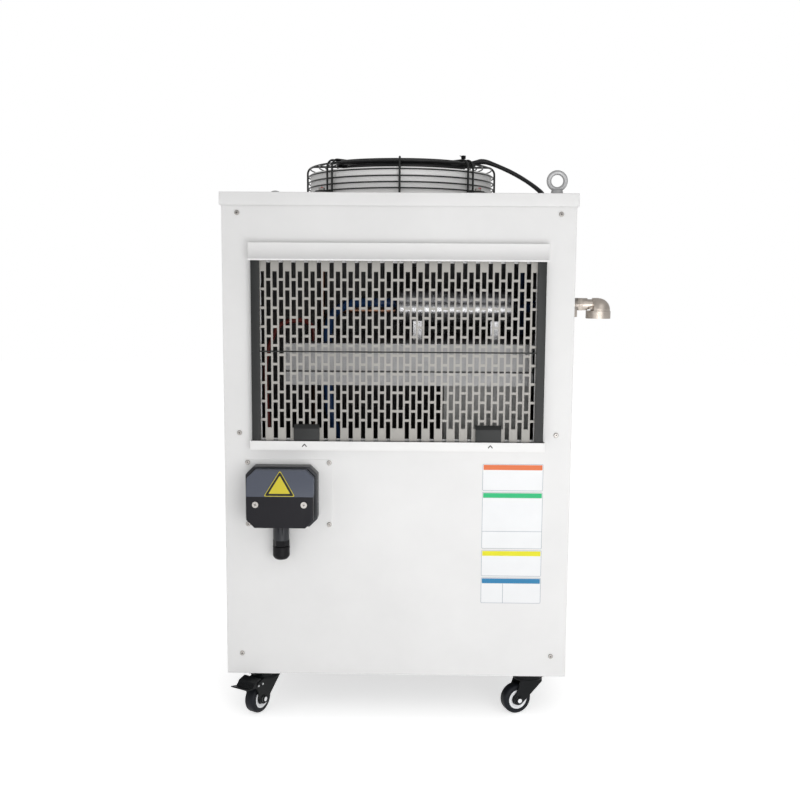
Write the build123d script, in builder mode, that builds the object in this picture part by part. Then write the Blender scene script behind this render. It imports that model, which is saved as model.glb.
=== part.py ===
from build123d import *
import os
from math import atan2, cos, degrees, hypot, radians, sin

os.makedirs("parts", exist_ok=True)

# Recirculating chiller: a sheet metal cabinet on casters, with an air filter and a junction box on the side
# in view, a fan on the lid and two water ports on the right. Millimetres, Z up, the floor at Z = 0.

# Cabinet
lid_width = 570.0
lid_depth = 466.0
cabinet_height = 792.5
caster_height = 72.0
sheet = 1.5
skirt_drop = 20.6
skirt_gap = 1.5
panel_fold = 15.0
panel_seam = 0.4
bend_radius = 1.2
pan_sheet = 2.0
pan_flange = 30.0
post_leg = 25.0

# Front panel screws
screw_across = 257.0
screw_low = 35.0
screw_middle = 407.0
screw_high = 760.0
screw_shank_radius = 2.0
screw_hole_radius = 2.15
screw_head_radius = 4.0
screw_head_height = 2.4
screw_length = 9.0

# Air filter, its hood and its sill
filter_width = 470.0
filter_middle = 612.5
window_width = 442.0
window_height = 289.0
frame_depth = 10.0
frame_top_bar = 11.0
frame_bottom_bar = 13.5
frame_gap = 0.6
plate_sheet = 1.2
plate_forward = 4.0
plate_grip = 3.5
slot_width = 7.0
slot_length = 26.0
slot_pitch = 10.1
slot_row = 30.0
slot_columns = 22
slot_rows = 8
slot_start = 21.0
rod_radius = 1.0
tab_width = 41.0
tab_across = 146.5
tab_height = 27.0
tab_reach = 4.0
opening_lap = 13.0
channel_sheet = 1.2
channel_depth = 15.0
sill_depth = 13.4
hood_height = 28.0
sill_height = 15.0
hem_height = 3.0
hem_depth = 1.0
channel_side_gap = 2.0
filter_lift = 14.0

# Junction box and cable gland
box_across = -186.0
box_up = 379.0
mount_width = 144.0
mount_height = 113.0
mount_shift_across = 8.4
mount_shift_up = 0.4
mount_corner = 5.0
plate_screw_across = 66.6
plate_screw_up = 51.4
box_width = 116.0
box_height = 98.0
cover_width = 107.0
cover_height = 92.0
base_thick = 24.0
cover_thick = 25.0
cover_slope = 11.0
cover_split_up = 5.0
box_corner = 13.0
box_wall = 2.5
base_wall = 6.0
wire_hole_radius = 14.0
cover_screw_across = 38.7
cover_screw_up = -7.7
cover_screw_radius = 5.0
cover_screw_head = 2.0
cover_screw_length = 12.0
neck_radius = 13.0
neck_length = 24.0
neck_forward = 13.5
neck_shift = -2.4
gland_thread_radius = 9.8
gland_thread_length = 12.0
gland_flange_radius = 13.5
gland_flange = 10.0
gland_body_radius = 9.6
gland_body = 19.0
gland_bore_radius = 6.5
nut_radius = 13.7
nut_length = 21.0
nut_clearance = 0.1

# Water ports on the right side
port_radius = 10.0
port_bore_radius = 6.0
port_inside = 14.0
port_reach = 44.5
outlet_forward = 190.0
outlet_up = 690.0
inlet_back = 145.0
inlet_drop = 9.0
relief_radius = 8.2
relief_start = 26.0
arm_start = 34.7
band_radius = 20.0
band_height = 12.0
elbow_radius = 19.0
elbow_height = 33.0
outlet_thread_radius = 15.15
outlet_thread_length = 14.0

# Lifting eyes
eye_across = 254.0
eye_forward = 195.0
eye_ring_radius = 13.3
eye_wire_radius = 3.8
eye_centre_up = 22.5
eye_collar_radius = 10.0
eye_collar = 6.0
eye_shank = 14.0

# Fan
shroud_radius = 152.0
shroud_wall = 1.5
shroud_height = 46.0
shroud_flange = 9.0
shroud_lip = 4.0
lid_hole_radius = 148.0
guard_radius = 167.4
guard_top = 66.0
guard_wire_radius = 1.6
ring_wire_radius = 1.1
weld_sink = 0.3
guard_corner = 9.0
ring_sides = 40
wall_ring_heights = (12.5, 22.0, 32.0, 43.0)
top_ring_count = 5
top_ring_step = 22.0
top_ring_edge = 156.0
pair_gap = 7.5
foot_radius = 185.0
foot_width = 16.0
foot_thick = 2.5
spacer_radius = 6.5
spacer_height = 9.0
fan_bolt_radius = 3.0
fan_bolt_head_radius = 5.5
fan_bolt_head = 4.5
fan_bolt_length = 20.0
hub_radius = 51.0
hub_low = 6.0
hub_high = 50.0
blade_count = 5
blade_radius = 146.0
blade_thick = 2.4
blade_root_chord = 52.0
blade_tip_chord = 96.0
blade_root_pitch = 42.0
blade_tip_pitch = 20.0
blade_middle = 25.0
shaft_radius = 6.0
shaft_clearance = 0.05
shaft_depth = 22.0
motor_gap = 1.0
motor_flange_radius = 50.0
motor_flange = 4.0
motor_boss_radius = 34.0
guard_disc_radius = 46.0
guard_disc = 1.5

# Cables from the fan
cable_radius = 3.5
cable_exit_reach = 40.0
cable_exit_width = 19.0
grommet_radius = 8.5
grommet_lip = 2.0
grommet_groove = 2.0
tie_width = 4.0
tie_wall = 1.0
tie_head = 5.0
tie_turns = (243.5, 315.0)
cable_in_drop = 9.0

# Casters
caster_across = 223.0
caster_forward = 198.0
caster_trail = 22.0
wheel_radius = 25.0
rim_radius = 16.5
tyre_width = 19.0
tyre_edge = 3.5
hub_width = 22.4
rim_hub_radius = 8.0
rim_ring = 3.0
rim_web = 6.0
axle_radius = 4.0
axle_clearance = 0.05
fork_inside = 23.0
fork_sheet = 2.5
fork_top_up = 61.7
fork_disc_radius = 25.0
fork_top_sheet = 2.7
fork_boss_radius = 8.5
fork_brow_out = -1.5
fork_brow_width = 38.0
fork_brow_height = 9.0
axle_head_radius = 6.0
axle_head = 3.0
plate_side = 54.0
caster_sheet = 2.5
raceway_radius = 24.0
raceway_gap = 0.3
kingpin_radius = 4.0
kingpin_head_radius = 7.0
kingpin_head = 2.2
pedal_pivot_out = 37.0
pedal_pivot_up = 52.5
pedal_pin_radius = 2.0
pedal_boss_radius = 3.8
pedal_width = 21.6
pedal_thick = 1.8
tread_width = 34.0
tread_bend = 1.6
groove_radius = 0.6
rivet_radius = 2.3
rivet_head = 0.8
rivet_pitch = 11.0

# Inside the cabinet
shelf_up = 620.6
shelf_left = 192.0
shelf_forward = 150.0
apron_upper = 46.0
apron_lower = 24.0
apron_step = 8.0
shelf_notch = 66.0
evaporator_radius = 34.0
evaporator_length = 222.0
evaporator_across = 102.0
control_width = 146.0
control_height = 239.0
control_depth = 165.0
control_across = 150.0
control_slot_width = 7.0
control_slot_length = 48.0
control_slot_pitch = 42.0
tank_width = 228.0
tank_depth = 190.0
tank_height = 250.0
tank_across = 155.0
tank_back = 125.0
tank_corner = 12.0
compressor_radius = 65.0
compressor_height = 255.0
compressor_across = -150.0
compressor_back = 105.0
compressor_foot = 16.0
pump_radius = 52.0
pump_length = 130.0
pump_across = 40.0
pump_forward = 130.0
pump_volute_radius = 62.0
pump_volute = 40.0
pump_foot = 20.0
coil_width = 430.0
coil_depth = 380.0
coil_height = 50.0
coil_up = 785.0
coil_fins = 30
coil_groove = 8.0
coil_bracket_depth = 280.0
hose_radius = 8.0
copper_radius = 5.0
loom_radius = 4.0

# Filler and controller
filler_across = 240.0
filler_back = 178.0
filler_radius = 20.0
filler_bore_radius = 16.0
filler_flange_radius = 27.0
filler_flange = 2.5
filler_height = 16.0
filler_depth = 30.0
cap_wall = 3.0
cap_gap = 0.3
cap_height = 18.0
cap_grips = 12
controller_width = 77.0
controller_height = 35.0
controller_bezel = 6.0
controller_body_width = 71.0
controller_body_height = 29.0
controller_body_depth = 60.0
controller_up = 740.0
window_frame = 8.0
window_thick = 1.0

# Worked out from the sizes above
body_width = lid_width - 2 * (sheet + skirt_gap)
body_depth = lid_depth - 2 * (sheet + skirt_gap)
side = body_width / 2
front = body_depth / 2
base_up = caster_height
lid_up = base_up + cabinet_height
panel_top = lid_up - sheet
right_reach = side + port_reach + band_radius
left_reach = lid_width / 2
front_reach = front + sheet + base_thick + cover_thick + cover_screw_head
back_reach = front + controller_bezel
middle_x = (left_reach - right_reach) / 2
middle_y = (front_reach - back_reach) / 2


def level(z, x=0, y=0):
    """Horizontal plane at height z, at x and y from the middle of the cabinet."""
    return Plane(origin=(middle_x + x, middle_y + y, z))


def facing_front(y, x=0, z=0):
    """Upright plane looking out of the front, with X to the right and Y up."""
    return Plane(origin=(middle_x + x, middle_y + y, z), x_dir=(1, 0, 0), z_dir=(0, -1, 0))


def facing_right(x, y=0, z=0):
    """Upright plane looking out of the right side, with X to the back and Y up."""
    return Plane(origin=(middle_x + x, middle_y + y, z), x_dir=(0, 1, 0), z_dir=(1, 0, 0))


def place(x, y, z):
    """A point given from the middle of the cabinet."""
    return Vector(middle_x + x, middle_y + y, z)


def save(piece, name):
    piece.part.label = name
    export_step(piece.part, f"parts/{name}.step")


def tube(points, radius):
    """A pipe along straight runs joined by arcs, each as large as its two runs allow."""
    path = [place(*point) for point in points]
    radii = []
    for before, corner, after in zip(path, path[1:], path[2:]):
        turn = (corner - before).get_angle(after - corner)
        shorter = min((corner - before).length, (after - corner).length)
        radii.append(0.45 * shorter / abs(sin(radians(turn / 2)) / cos(radians(turn / 2))))
    with BuildPart(mode=Mode.PRIVATE) as pipe:
        with BuildLine() as route:
            if radii:
                FilletPolyline(*path, radius=radii)
            else:
                Line(*path)
        with BuildSketch(Plane(origin=path[0], z_dir=path[1] - path[0])):
            Circle(radius)
        sweep(path=route.wires()[0])
    return pipe.part, route.wires()[0].length, radii


# Base pan: a tray that the panels stand round
pan_width = body_width - 2 * sheet
pan_depth = body_depth - 2 * sheet
with BuildPart() as base_pan:
    with BuildSketch(level(base_up)):
        Rectangle(pan_width, pan_depth)
    extrude(amount=pan_flange)
    with BuildSketch(level(base_up + pan_sheet)):
        Rectangle(pan_width - 2 * pan_sheet, pan_depth - 2 * pan_sheet)
    extrude(amount=pan_flange, mode=Mode.SUBTRACT)
save(base_pan, "base_pan")

# Screw places on the front panel, across and up
screw_places = [
    (across, base_up + up)
    for up in (screw_low, screw_middle, screw_high)
    for across in (-screw_across, screw_across)
]

plate_screw_places = [
    (box_across + mount_shift_across + across, box_up + mount_shift_up + up)
    for up in (-plate_screw_up, plate_screw_up)
    for across in (-plate_screw_across, plate_screw_across)
]

# Corner posts: angles that stand on the pan's flange and carry the lid
with BuildPart() as corner_posts:
    with BuildSketch(level(base_up + pan_flange)):
        for turn_x in (-1, 1):
            for turn_y in (-1, 1):
                with Locations((turn_x * (pan_width - post_leg) / 2, turn_y * (pan_depth - pan_sheet) / 2)):
                    Rectangle(post_leg, pan_sheet)
                with Locations((turn_x * (pan_width - pan_sheet) / 2, turn_y * (pan_depth - post_leg) / 2)):
                    Rectangle(pan_sheet, post_leg)
    extrude(amount=panel_top - base_up - pan_flange)
    with BuildSketch(facing_front(-front)):
        with Locations(*screw_places):
            Circle(screw_hole_radius)
    extrude(amount=-(sheet + 2 * pan_sheet), mode=Mode.SUBTRACT)
save(corner_posts, "corner_posts")

# Front panel: folded at its sides, with the air opening behind the filter
opening_width = filter_width - 2 * opening_lap - 4
opening_height = window_height - 6
panel_height = panel_top - base_up
with BuildPart() as front_panel:
    with BuildSketch(level(base_up)):
        with Locations((0, (sheet - body_depth) / 2)):
            Rectangle(body_width, sheet)
        with Locations(
            ((body_width - sheet) / 2, (panel_fold - body_depth) / 2),
            ((sheet - body_width) / 2, (panel_fold - body_depth) / 2),
        ):
            Rectangle(sheet, panel_fold)
    extrude(amount=panel_height)
    corners = front_panel.edges().filter_by(Axis.Z).group_by(Axis.Y)[0]
    fillet(corners, radius=bend_radius)
    with BuildSketch(facing_front(-front)):
        with Locations((0, filter_middle)):
            Rectangle(opening_width, opening_height)
        with Locations(*screw_places, *plate_screw_places):
            Circle(screw_hole_radius)
        with Locations((box_across, box_up)):
            Circle(wire_hole_radius)
    extrude(amount=-sheet, mode=Mode.SUBTRACT)
save(front_panel, "front_panel")

# Back panel: folded the same way, with a cut-out for the controller
with BuildPart() as back_panel:
    with BuildSketch(level(base_up)):
        with Locations((0, (body_depth - sheet) / 2)):
            Rectangle(body_width, sheet)
        with Locations(
            ((body_width - sheet) / 2, (body_depth - panel_fold) / 2),
            ((sheet - body_width) / 2, (body_depth - panel_fold) / 2),
        ):
            Rectangle(sheet, panel_fold)
    extrude(amount=panel_height)
    corners = back_panel.edges().filter_by(Axis.Z).group_by(Axis.Y)[-1]
    fillet(corners, radius=bend_radius)
    with BuildSketch(facing_front(front)):
        with Locations((0, controller_up)):
            Rectangle(controller_body_width, controller_body_height)
    extrude(amount=sheet, mode=Mode.SUBTRACT)
save(back_panel, "back_panel")

# Water ports: where each one goes through the right panel
ports = {
    "outlet": (-outlet_forward, outlet_up),
    "inlet": (inlet_back, outlet_up - inlet_drop),
}

side_depth = body_depth - 2 * (panel_fold + panel_seam)
with BuildPart() as right_panel:
    with BuildSketch(facing_right(side)):
        with Locations((0, base_up + panel_height / 2)):
            Rectangle(side_depth, panel_height)
        with Locations(*ports.values()):
            Circle(port_radius, mode=Mode.SUBTRACT)
    extrude(amount=-sheet)
save(right_panel, "right_panel")

with BuildPart() as left_panel:
    with BuildSketch(facing_right(-side)):
        with Locations((0, base_up + panel_height / 2)):
            Rectangle(side_depth, panel_height)
    extrude(amount=sheet)
save(left_panel, "left_panel")

# Lid: a folded tray with the fan's hole and the small holes for what is fixed to it
eye_places = [(eye_across, -eye_forward), (-eye_across, eye_forward)]
cable_places = [(243.0, -96.0), (249.0, -80.0)]
with BuildPart() as lid:
    with BuildSketch(level(lid_up - skirt_drop)):
        Rectangle(lid_width, lid_depth)
    extrude(amount=skirt_drop)
    outside = lid.edges().filter_by(Axis.Z) + lid.edges().group_by(Axis.Z)[-1]
    fillet(outside, radius=bend_radius)
    with BuildSketch(level(lid_up - skirt_drop)):
        Rectangle(lid_width - 2 * sheet, lid_depth - 2 * sheet)
    extrude(amount=skirt_drop - sheet, mode=Mode.SUBTRACT)
    with BuildSketch(level(lid_up)):
        Circle(lid_hole_radius)
        with Locations(*eye_places):
            Circle(eye_wire_radius)
        with Locations((filler_across, filler_back)):
            Circle(filler_radius)
        with Locations(*cable_places):
            Circle(grommet_radius - grommet_groove)
    extrude(amount=-sheet, mode=Mode.SUBTRACT)
save(lid, "lid")

screw_seats = [(x, z, 0) for x, z in screw_places] + [(x, z, sheet) for x, z in plate_screw_places]
with BuildPart(facing_front(-front)) as panel_screws:
    with Locations(*screw_seats):
        Cylinder(screw_head_radius, screw_head_height, align=(Align.CENTER, Align.CENTER, Align.MIN))
    crowns = [solid.faces().sort_by(Axis.Y)[0].edges()[0] for solid in panel_screws.solids()]
    fillet(crowns, radius=screw_head_height * 0.6)
    with Locations(*screw_seats):
        Cylinder(screw_shank_radius, screw_length, align=(Align.CENTER, Align.CENTER, Align.MAX))
save(panel_screws, "panel_screws")

# Filter hood and sill: channels on the front panel that hold the filter's top and bottom
window_low = filter_middle - window_height / 2
window_high = filter_middle + window_height / 2
hood_width = filter_width + 2 * (channel_side_gap + channel_sheet)
with BuildPart() as filter_channels:
    with BuildSketch(facing_right(-hood_width / 2)):
        with Locations((-front - channel_depth / 2, window_high + hood_height / 2)):
            Rectangle(channel_depth, hood_height)
        with Locations((-front - channel_depth - hem_depth / 2, window_high + hem_height / 2)):
            Rectangle(hem_depth, hem_height)
        with Locations((-front - sill_depth / 2, window_low - sill_height / 2)):
            Rectangle(sill_depth, sill_height)
    extrude(amount=hood_width)
    with BuildSketch(facing_right(-hood_width / 2 + channel_sheet)):
        with Locations((-front, window_high - channel_sheet)):
            Rectangle(channel_depth - channel_sheet, hood_height, align=(Align.MAX, Align.MIN))
        with Locations((-front, window_low - sill_height + channel_sheet)):
            Rectangle(sill_depth - channel_sheet, sill_height, align=(Align.MAX, Align.MIN))
    extrude(amount=hood_width - 2 * channel_sheet, mode=Mode.SUBTRACT)
save(filter_channels, "filter_channels")

# Filter frame: moulded bars with a groove for the plate, a thin cross rod and two pull tabs
frame_back = -front - frame_gap
frame_front = frame_back - frame_depth
frame_low = window_low - frame_bottom_bar
frame_high = window_high + frame_top_bar
plate_front = frame_front + plate_forward
plate_width = window_width + 2 * plate_grip
plate_height = window_height + 2 * plate_grip
tab_low = window_low - plate_grip
with BuildPart() as filter_frame:
    with BuildSketch(facing_front(frame_back)):
        with Locations((0, frame_low)):
            Rectangle(filter_width, frame_high - frame_low, align=(Align.CENTER, Align.MIN))
        with Locations((0, filter_middle)):
            Rectangle(window_width, window_height, mode=Mode.SUBTRACT)
    extrude(amount=frame_depth)
    with BuildSketch(facing_front(plate_front)):
        with Locations((0, filter_middle)):
            Rectangle(plate_width, plate_height)
    extrude(amount=-plate_sheet, mode=Mode.SUBTRACT)
    with BuildSketch(facing_right(-window_width / 2 - rod_radius)):
        with Locations(((frame_front + plate_front) / 2, filter_middle)):
            Circle(rod_radius)
    extrude(amount=window_width + 2 * rod_radius)
    for across in (-tab_across, tab_across):
        with BuildSketch(facing_right(across - tab_width / 2)):
            with BuildLine():
                Polyline(
                    (plate_front - 0.3, tab_low),
                    (frame_front, tab_low),
                    (frame_front, window_low + 1),
                    (frame_front - tab_reach, window_low + 2),
                    (frame_front - tab_reach - 1, window_low + tab_height - 6),
                    (frame_front, window_low + tab_height),
                    (plate_front - 0.3, window_low + tab_height),
                    close=True,
                )
            make_face()
        extrude(amount=tab_width)
save(filter_frame, "filter_frame")

# Slotted plate: columns of slots, each column half a row higher than the next, mirrored about the middle.
# The last slot of a column runs on to the plate's edge, at the top or at the bottom.
plate_low = filter_middle - plate_height / 2
plate_high = filter_middle + plate_height / 2
slot_bridge = slot_row - slot_length
slots = []
for column in range(slot_columns):
    raised = column % 2 == 1
    lowest = window_low + slot_start + (slot_row / 2 if raised else 0)
    ends = [(lowest + row * slot_row, lowest + row * slot_row + slot_length) for row in range(slot_rows)]
    if raised:
        ends.append((plate_low, ends[0][0] - slot_bridge))
    else:
        ends.append((ends[-1][1] + slot_bridge, plate_high))
    for hand in (-1, 1):
        slots += [(hand * slot_pitch * (column + 0.5), low, high) for low, high in ends]
with BuildPart() as filter_plate:
    with BuildSketch(facing_front(plate_front)):
        with Locations((0, filter_middle)):
            Rectangle(plate_width, plate_height)
        for length in sorted({round(high - low, 3) for across, low, high in slots}):
            with Locations(*[(x, (a + b) / 2) for x, a, b in slots if round(b - a, 3) == length]):
                Rectangle(slot_width, length, mode=Mode.SUBTRACT)
    extrude(amount=-plate_sheet)
save(filter_plate, "filter_plate")

# Junction box: mounting plate, base with a neck, and a cover whose upper half leans back
mount_front = -front - sheet
base_front = mount_front - base_thick
cover_front = base_front - cover_thick
box_low = box_up - box_height / 2
neck_y = mount_front - neck_forward
neck_x = box_across + neck_shift
with BuildPart() as junction_plate:
    with BuildSketch(facing_front(-front)):
        with Locations((box_across + mount_shift_across, box_up + mount_shift_up)):
            RectangleRounded(mount_width, mount_height, mount_corner)
        with Locations((box_across, box_up)):
            Circle(wire_hole_radius, mode=Mode.SUBTRACT)
        with Locations(*plate_screw_places):
            Circle(screw_hole_radius, mode=Mode.SUBTRACT)
    extrude(amount=sheet)
save(junction_plate, "junction_plate")


def octagon(width, height, corner):
    """An upright rectangle with its four corners cut off."""
    with BuildSketch(mode=Mode.PRIVATE) as outline:
        Rectangle(width, height)
        chamfer(outline.vertices(), length=corner)
    return outline.sketch


with BuildPart() as junction_base:
    with BuildSketch(facing_front(mount_front, box_across, box_up)):
        add(octagon(box_width, box_height, box_corner))
    extrude(amount=base_thick)
    with BuildSketch(level(box_low - neck_length, neck_x, neck_y)):
        Circle(neck_radius)
    extrude(amount=neck_length)
    with BuildSketch(facing_front(mount_front - box_wall, box_across, box_up)):
        add(octagon(box_width - 2 * base_wall, box_height - 2 * base_wall, box_corner - base_wall / 2))
    extrude(amount=base_thick, mode=Mode.SUBTRACT)
    with BuildSketch(facing_front(mount_front, box_across, box_up)):
        Circle(wire_hole_radius)
    extrude(amount=box_wall, mode=Mode.SUBTRACT)
    with BuildSketch(level(box_low - neck_length, neck_x, neck_y)):
        Circle(gland_thread_radius)
    extrude(amount=neck_length + base_wall, mode=Mode.SUBTRACT)
save(junction_base, "junction_base")

cover_screw_places = [(-cover_screw_across, cover_screw_up), (cover_screw_across, cover_screw_up)]


def cover_profile(wall):
    """Side outline of the cover, drawn inwards by the wall."""
    half = cover_height / 2 - wall
    with BuildSketch(facing_right(box_across, 0, box_up), mode=Mode.PRIVATE) as outline:
        with BuildLine():
            Polyline(
                (base_front, -half),
                (cover_front + wall, -half),
                (cover_front + wall, cover_split_up),
                (cover_front + wall + cover_slope, half),
                (base_front, half),
                close=True,
            )
        make_face()
    return outline.sketch


with BuildPart() as junction_cover:
    with BuildSketch(facing_front(base_front, box_across, box_up)):
        add(octagon(cover_width, cover_height, box_corner))
    extrude(amount=cover_thick)
    extrude(cover_profile(0).faces()[0], amount=cover_width / 2, both=True, mode=Mode.INTERSECT)
    with BuildPart(mode=Mode.PRIVATE) as inside:
        with BuildSketch(facing_front(base_front, box_across, box_up)):
            add(octagon(cover_width - 2 * box_wall, cover_height - 2 * box_wall, box_corner - box_wall))
        extrude(amount=cover_thick)
        extrude(
            cover_profile(box_wall).faces()[0],
            amount=cover_width / 2,
            both=True,
            mode=Mode.INTERSECT,
        )
    add(inside.part, mode=Mode.SUBTRACT)
    with BuildSketch(facing_front(base_front, box_across, box_up)):
        with Locations(*cover_screw_places):
            Circle(cover_screw_radius)
    extrude(amount=cover_thick - box_wall)
    with BuildSketch(facing_front(base_front, box_across, box_up)):
        with Locations(*cover_screw_places):
            Circle(screw_hole_radius)
    extrude(amount=cover_thick, mode=Mode.SUBTRACT)
save(junction_cover, "junction_cover")

with BuildPart(facing_front(cover_front, box_across, box_up)) as cover_screws:
    with Locations(*[(x, z, 0) for x, z in cover_screw_places]):
        Cylinder(cover_screw_radius, cover_screw_head, align=(Align.CENTER, Align.CENTER, Align.MIN))
        Cylinder(screw_shank_radius, cover_screw_length, align=(Align.CENTER, Align.CENTER, Align.MAX))
save(cover_screws, "cover_screws")

neck_low = box_low - neck_length
with BuildPart(level(neck_low, neck_x, neck_y)) as cable_gland:
    Cylinder(gland_thread_radius, gland_thread_length, align=(Align.CENTER, Align.CENTER, Align.MIN))
    with BuildSketch(level(neck_low - gland_flange, neck_x, neck_y)):
        RegularPolygon(gland_flange_radius, 6)
    extrude(amount=gland_flange)
    with BuildSketch(level(neck_low - gland_flange - gland_body, neck_x, neck_y)):
        Circle(gland_body_radius)
    extrude(amount=gland_body)
    with BuildSketch(level(neck_low - gland_flange - gland_body, neck_x, neck_y)):
        Circle(gland_bore_radius)
    extrude(amount=gland_body + gland_flange + gland_thread_length, mode=Mode.SUBTRACT)
save(cable_gland, "cable_gland")

nut_low = neck_low - gland_flange - gland_body - 3
with BuildPart() as gland_nut:
    with BuildSketch(Plane(origin=place(neck_x, neck_y, nut_low), x_dir=(1, 0, 0), z_dir=(0, -1, 0))):
        with BuildLine():
            Polyline(
                (gland_bore_radius, 3),
                (gland_bore_radius, 0),
                (gland_bore_radius + 2.5, 0),
            )
            ThreePointArc(
                (gland_bore_radius + 2.5, 0),
                (nut_radius - 1.2, 3.2),
                (nut_radius, 9),
            )
            Polyline(
                (nut_radius, 9),
                (nut_radius, nut_length),
                (gland_body_radius + nut_clearance, nut_length),
                (gland_body_radius + nut_clearance, 3),
                (gland_bore_radius, 3),
            )
        make_face()
    revolve(axis=Axis(place(neck_x, neck_y, 0), (0, 0, 1)))
save(gland_nut, "gland_nut")

# Water ports: a nipple through the panel and an elbow turned down
for port, (port_y, port_up) in ports.items():
    nipple_end = arm_start + port_radius - 2
    with BuildPart() as nipple:
        with BuildSketch(facing_right(side - port_inside, port_y, port_up)):
            Circle(port_radius)
        extrude(amount=port_inside + relief_start)
        with BuildSketch(facing_right(side + relief_start, port_y, port_up)):
            Circle(relief_radius)
        extrude(amount=nipple_end - relief_start)
        with BuildSketch(facing_right(side + 15, port_y, port_up)):
            Circle(port_radius)
            Circle(port_radius - 1, mode=Mode.SUBTRACT)
        extrude(amount=2, mode=Mode.SUBTRACT)
        with BuildSketch(facing_right(side - port_inside, port_y, port_up)):
            Circle(port_bore_radius)
        extrude(amount=port_inside + nipple_end, mode=Mode.SUBTRACT)
    save(nipple, f"{port}_nipple")

    mouth = port_up + port_radius - elbow_height
    elbow_x = side + port_reach
    with BuildPart() as elbow:
        with BuildSketch(Plane(origin=place(elbow_x, port_y, mouth), x_dir=(1, 0, 0), z_dir=(0, -1, 0))):
            with BuildLine():
                Polyline(
                    (0, elbow_height),
                    (0, 0),
                    (band_radius, 0),
                    (band_radius, band_height),
                    (elbow_radius, band_height + 1),
                    (elbow_radius, elbow_height - elbow_radius),
                )
                RadiusArc((elbow_radius, elbow_height - elbow_radius), (0, elbow_height), -elbow_radius)
            make_face()
        revolve(axis=Axis(place(elbow_x, port_y, 0), (0, 0, 1)))
        with BuildSketch(level(mouth + band_height + 0.6, side + arm_start - elbow_radius, port_y)):
            Rectangle(2 * elbow_radius, 3 * elbow_radius)
        extrude(amount=elbow_height, mode=Mode.SUBTRACT)
        with BuildSketch(facing_right(side + arm_start, port_y, port_up)):
            Circle(port_radius + 0.4)
        extrude(amount=port_reach - arm_start)
        with BuildSketch(facing_right(side + arm_start, port_y, port_up)):
            Circle(relief_radius)
        extrude(amount=nipple_end - arm_start, mode=Mode.SUBTRACT)
        with BuildSketch(level(mouth, elbow_x, port_y)):
            Circle(outlet_thread_radius)
        extrude(amount=outlet_thread_length, mode=Mode.SUBTRACT)
        with BuildSketch(level(mouth, elbow_x, port_y)):
            Circle(port_bore_radius)
        extrude(amount=elbow_height - port_radius, mode=Mode.SUBTRACT)
    save(elbow, f"{port}_elbow")

# Lifting eyes: a ring on a collar, with a threaded shank through the lid
with BuildPart() as eye_bolts:
    for across, back in eye_places:
        with BuildPart(facing_front(back, across, lid_up + eye_centre_up)):
            Torus(eye_ring_radius, eye_wire_radius)
        with BuildSketch(level(lid_up, across, back)):
            Circle(eye_collar_radius)
        extrude(amount=eye_collar, taper=6)
        with BuildSketch(level(lid_up, across, back)):
            Circle(eye_wire_radius)
        extrude(amount=-eye_shank)
save(eye_bolts, "eye_bolts")

# Fan casing: a ring with a flange on the lid and a rolled top edge
with BuildPart() as fan_shroud:
    with BuildSketch(facing_front(0, 0, lid_up)):
        with BuildLine():
            Polyline(
                (shroud_radius - shroud_wall, 0),
                (shroud_radius + shroud_flange, 0),
                (shroud_radius + shroud_flange, shroud_wall),
                (shroud_radius, shroud_wall),
                (shroud_radius, shroud_height - shroud_lip),
                (shroud_radius + 1, shroud_height - shroud_lip),
                (shroud_radius + 1, shroud_height),
                (shroud_radius - shroud_wall, shroud_height),
                close=True,
            )
        make_face()
    revolve(axis=Axis(place(0, 0, 0), (0, 0, 1)))
save(fan_shroud, "fan_shroud")

# Fan guard: round wires bent over the top, with rings welded to them, a middle disc and four feet.
# The rings have flat sides, so that their thin wire stays light.
wire_top = lid_up + guard_top - ring_wire_radius - guard_wire_radius + weld_sink
wire_out = guard_radius - ring_wire_radius - guard_wire_radius + weld_sink
wire_in = guard_disc_radius - 8
wire_foot = lid_up + 1
with BuildPart(mode=Mode.PRIVATE) as guard_wire:
    with BuildLine() as bent:
        FilletPolyline(
            place(wire_in, 0, wire_top),
            place(wire_out, 0, wire_top),
            place(wire_out, 0, wire_foot),
            radius=guard_corner,
        )
    with BuildSketch(facing_right(wire_in, 0, wire_top)):
        RegularPolygon(guard_wire_radius, 6)
    sweep(path=bent.wires()[0])


def ring(radius, height):
    """A ring of square wire with flat sides, at a height above the lid."""
    with BuildPart(mode=Mode.PRIVATE) as loop:
        with BuildSketch(level(lid_up + height - ring_wire_radius)):
            RegularPolygon(radius + ring_wire_radius, ring_sides)
            RegularPolygon(radius - ring_wire_radius, ring_sides, mode=Mode.SUBTRACT)
        extrude(amount=2 * ring_wire_radius)
    return loop.part


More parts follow.
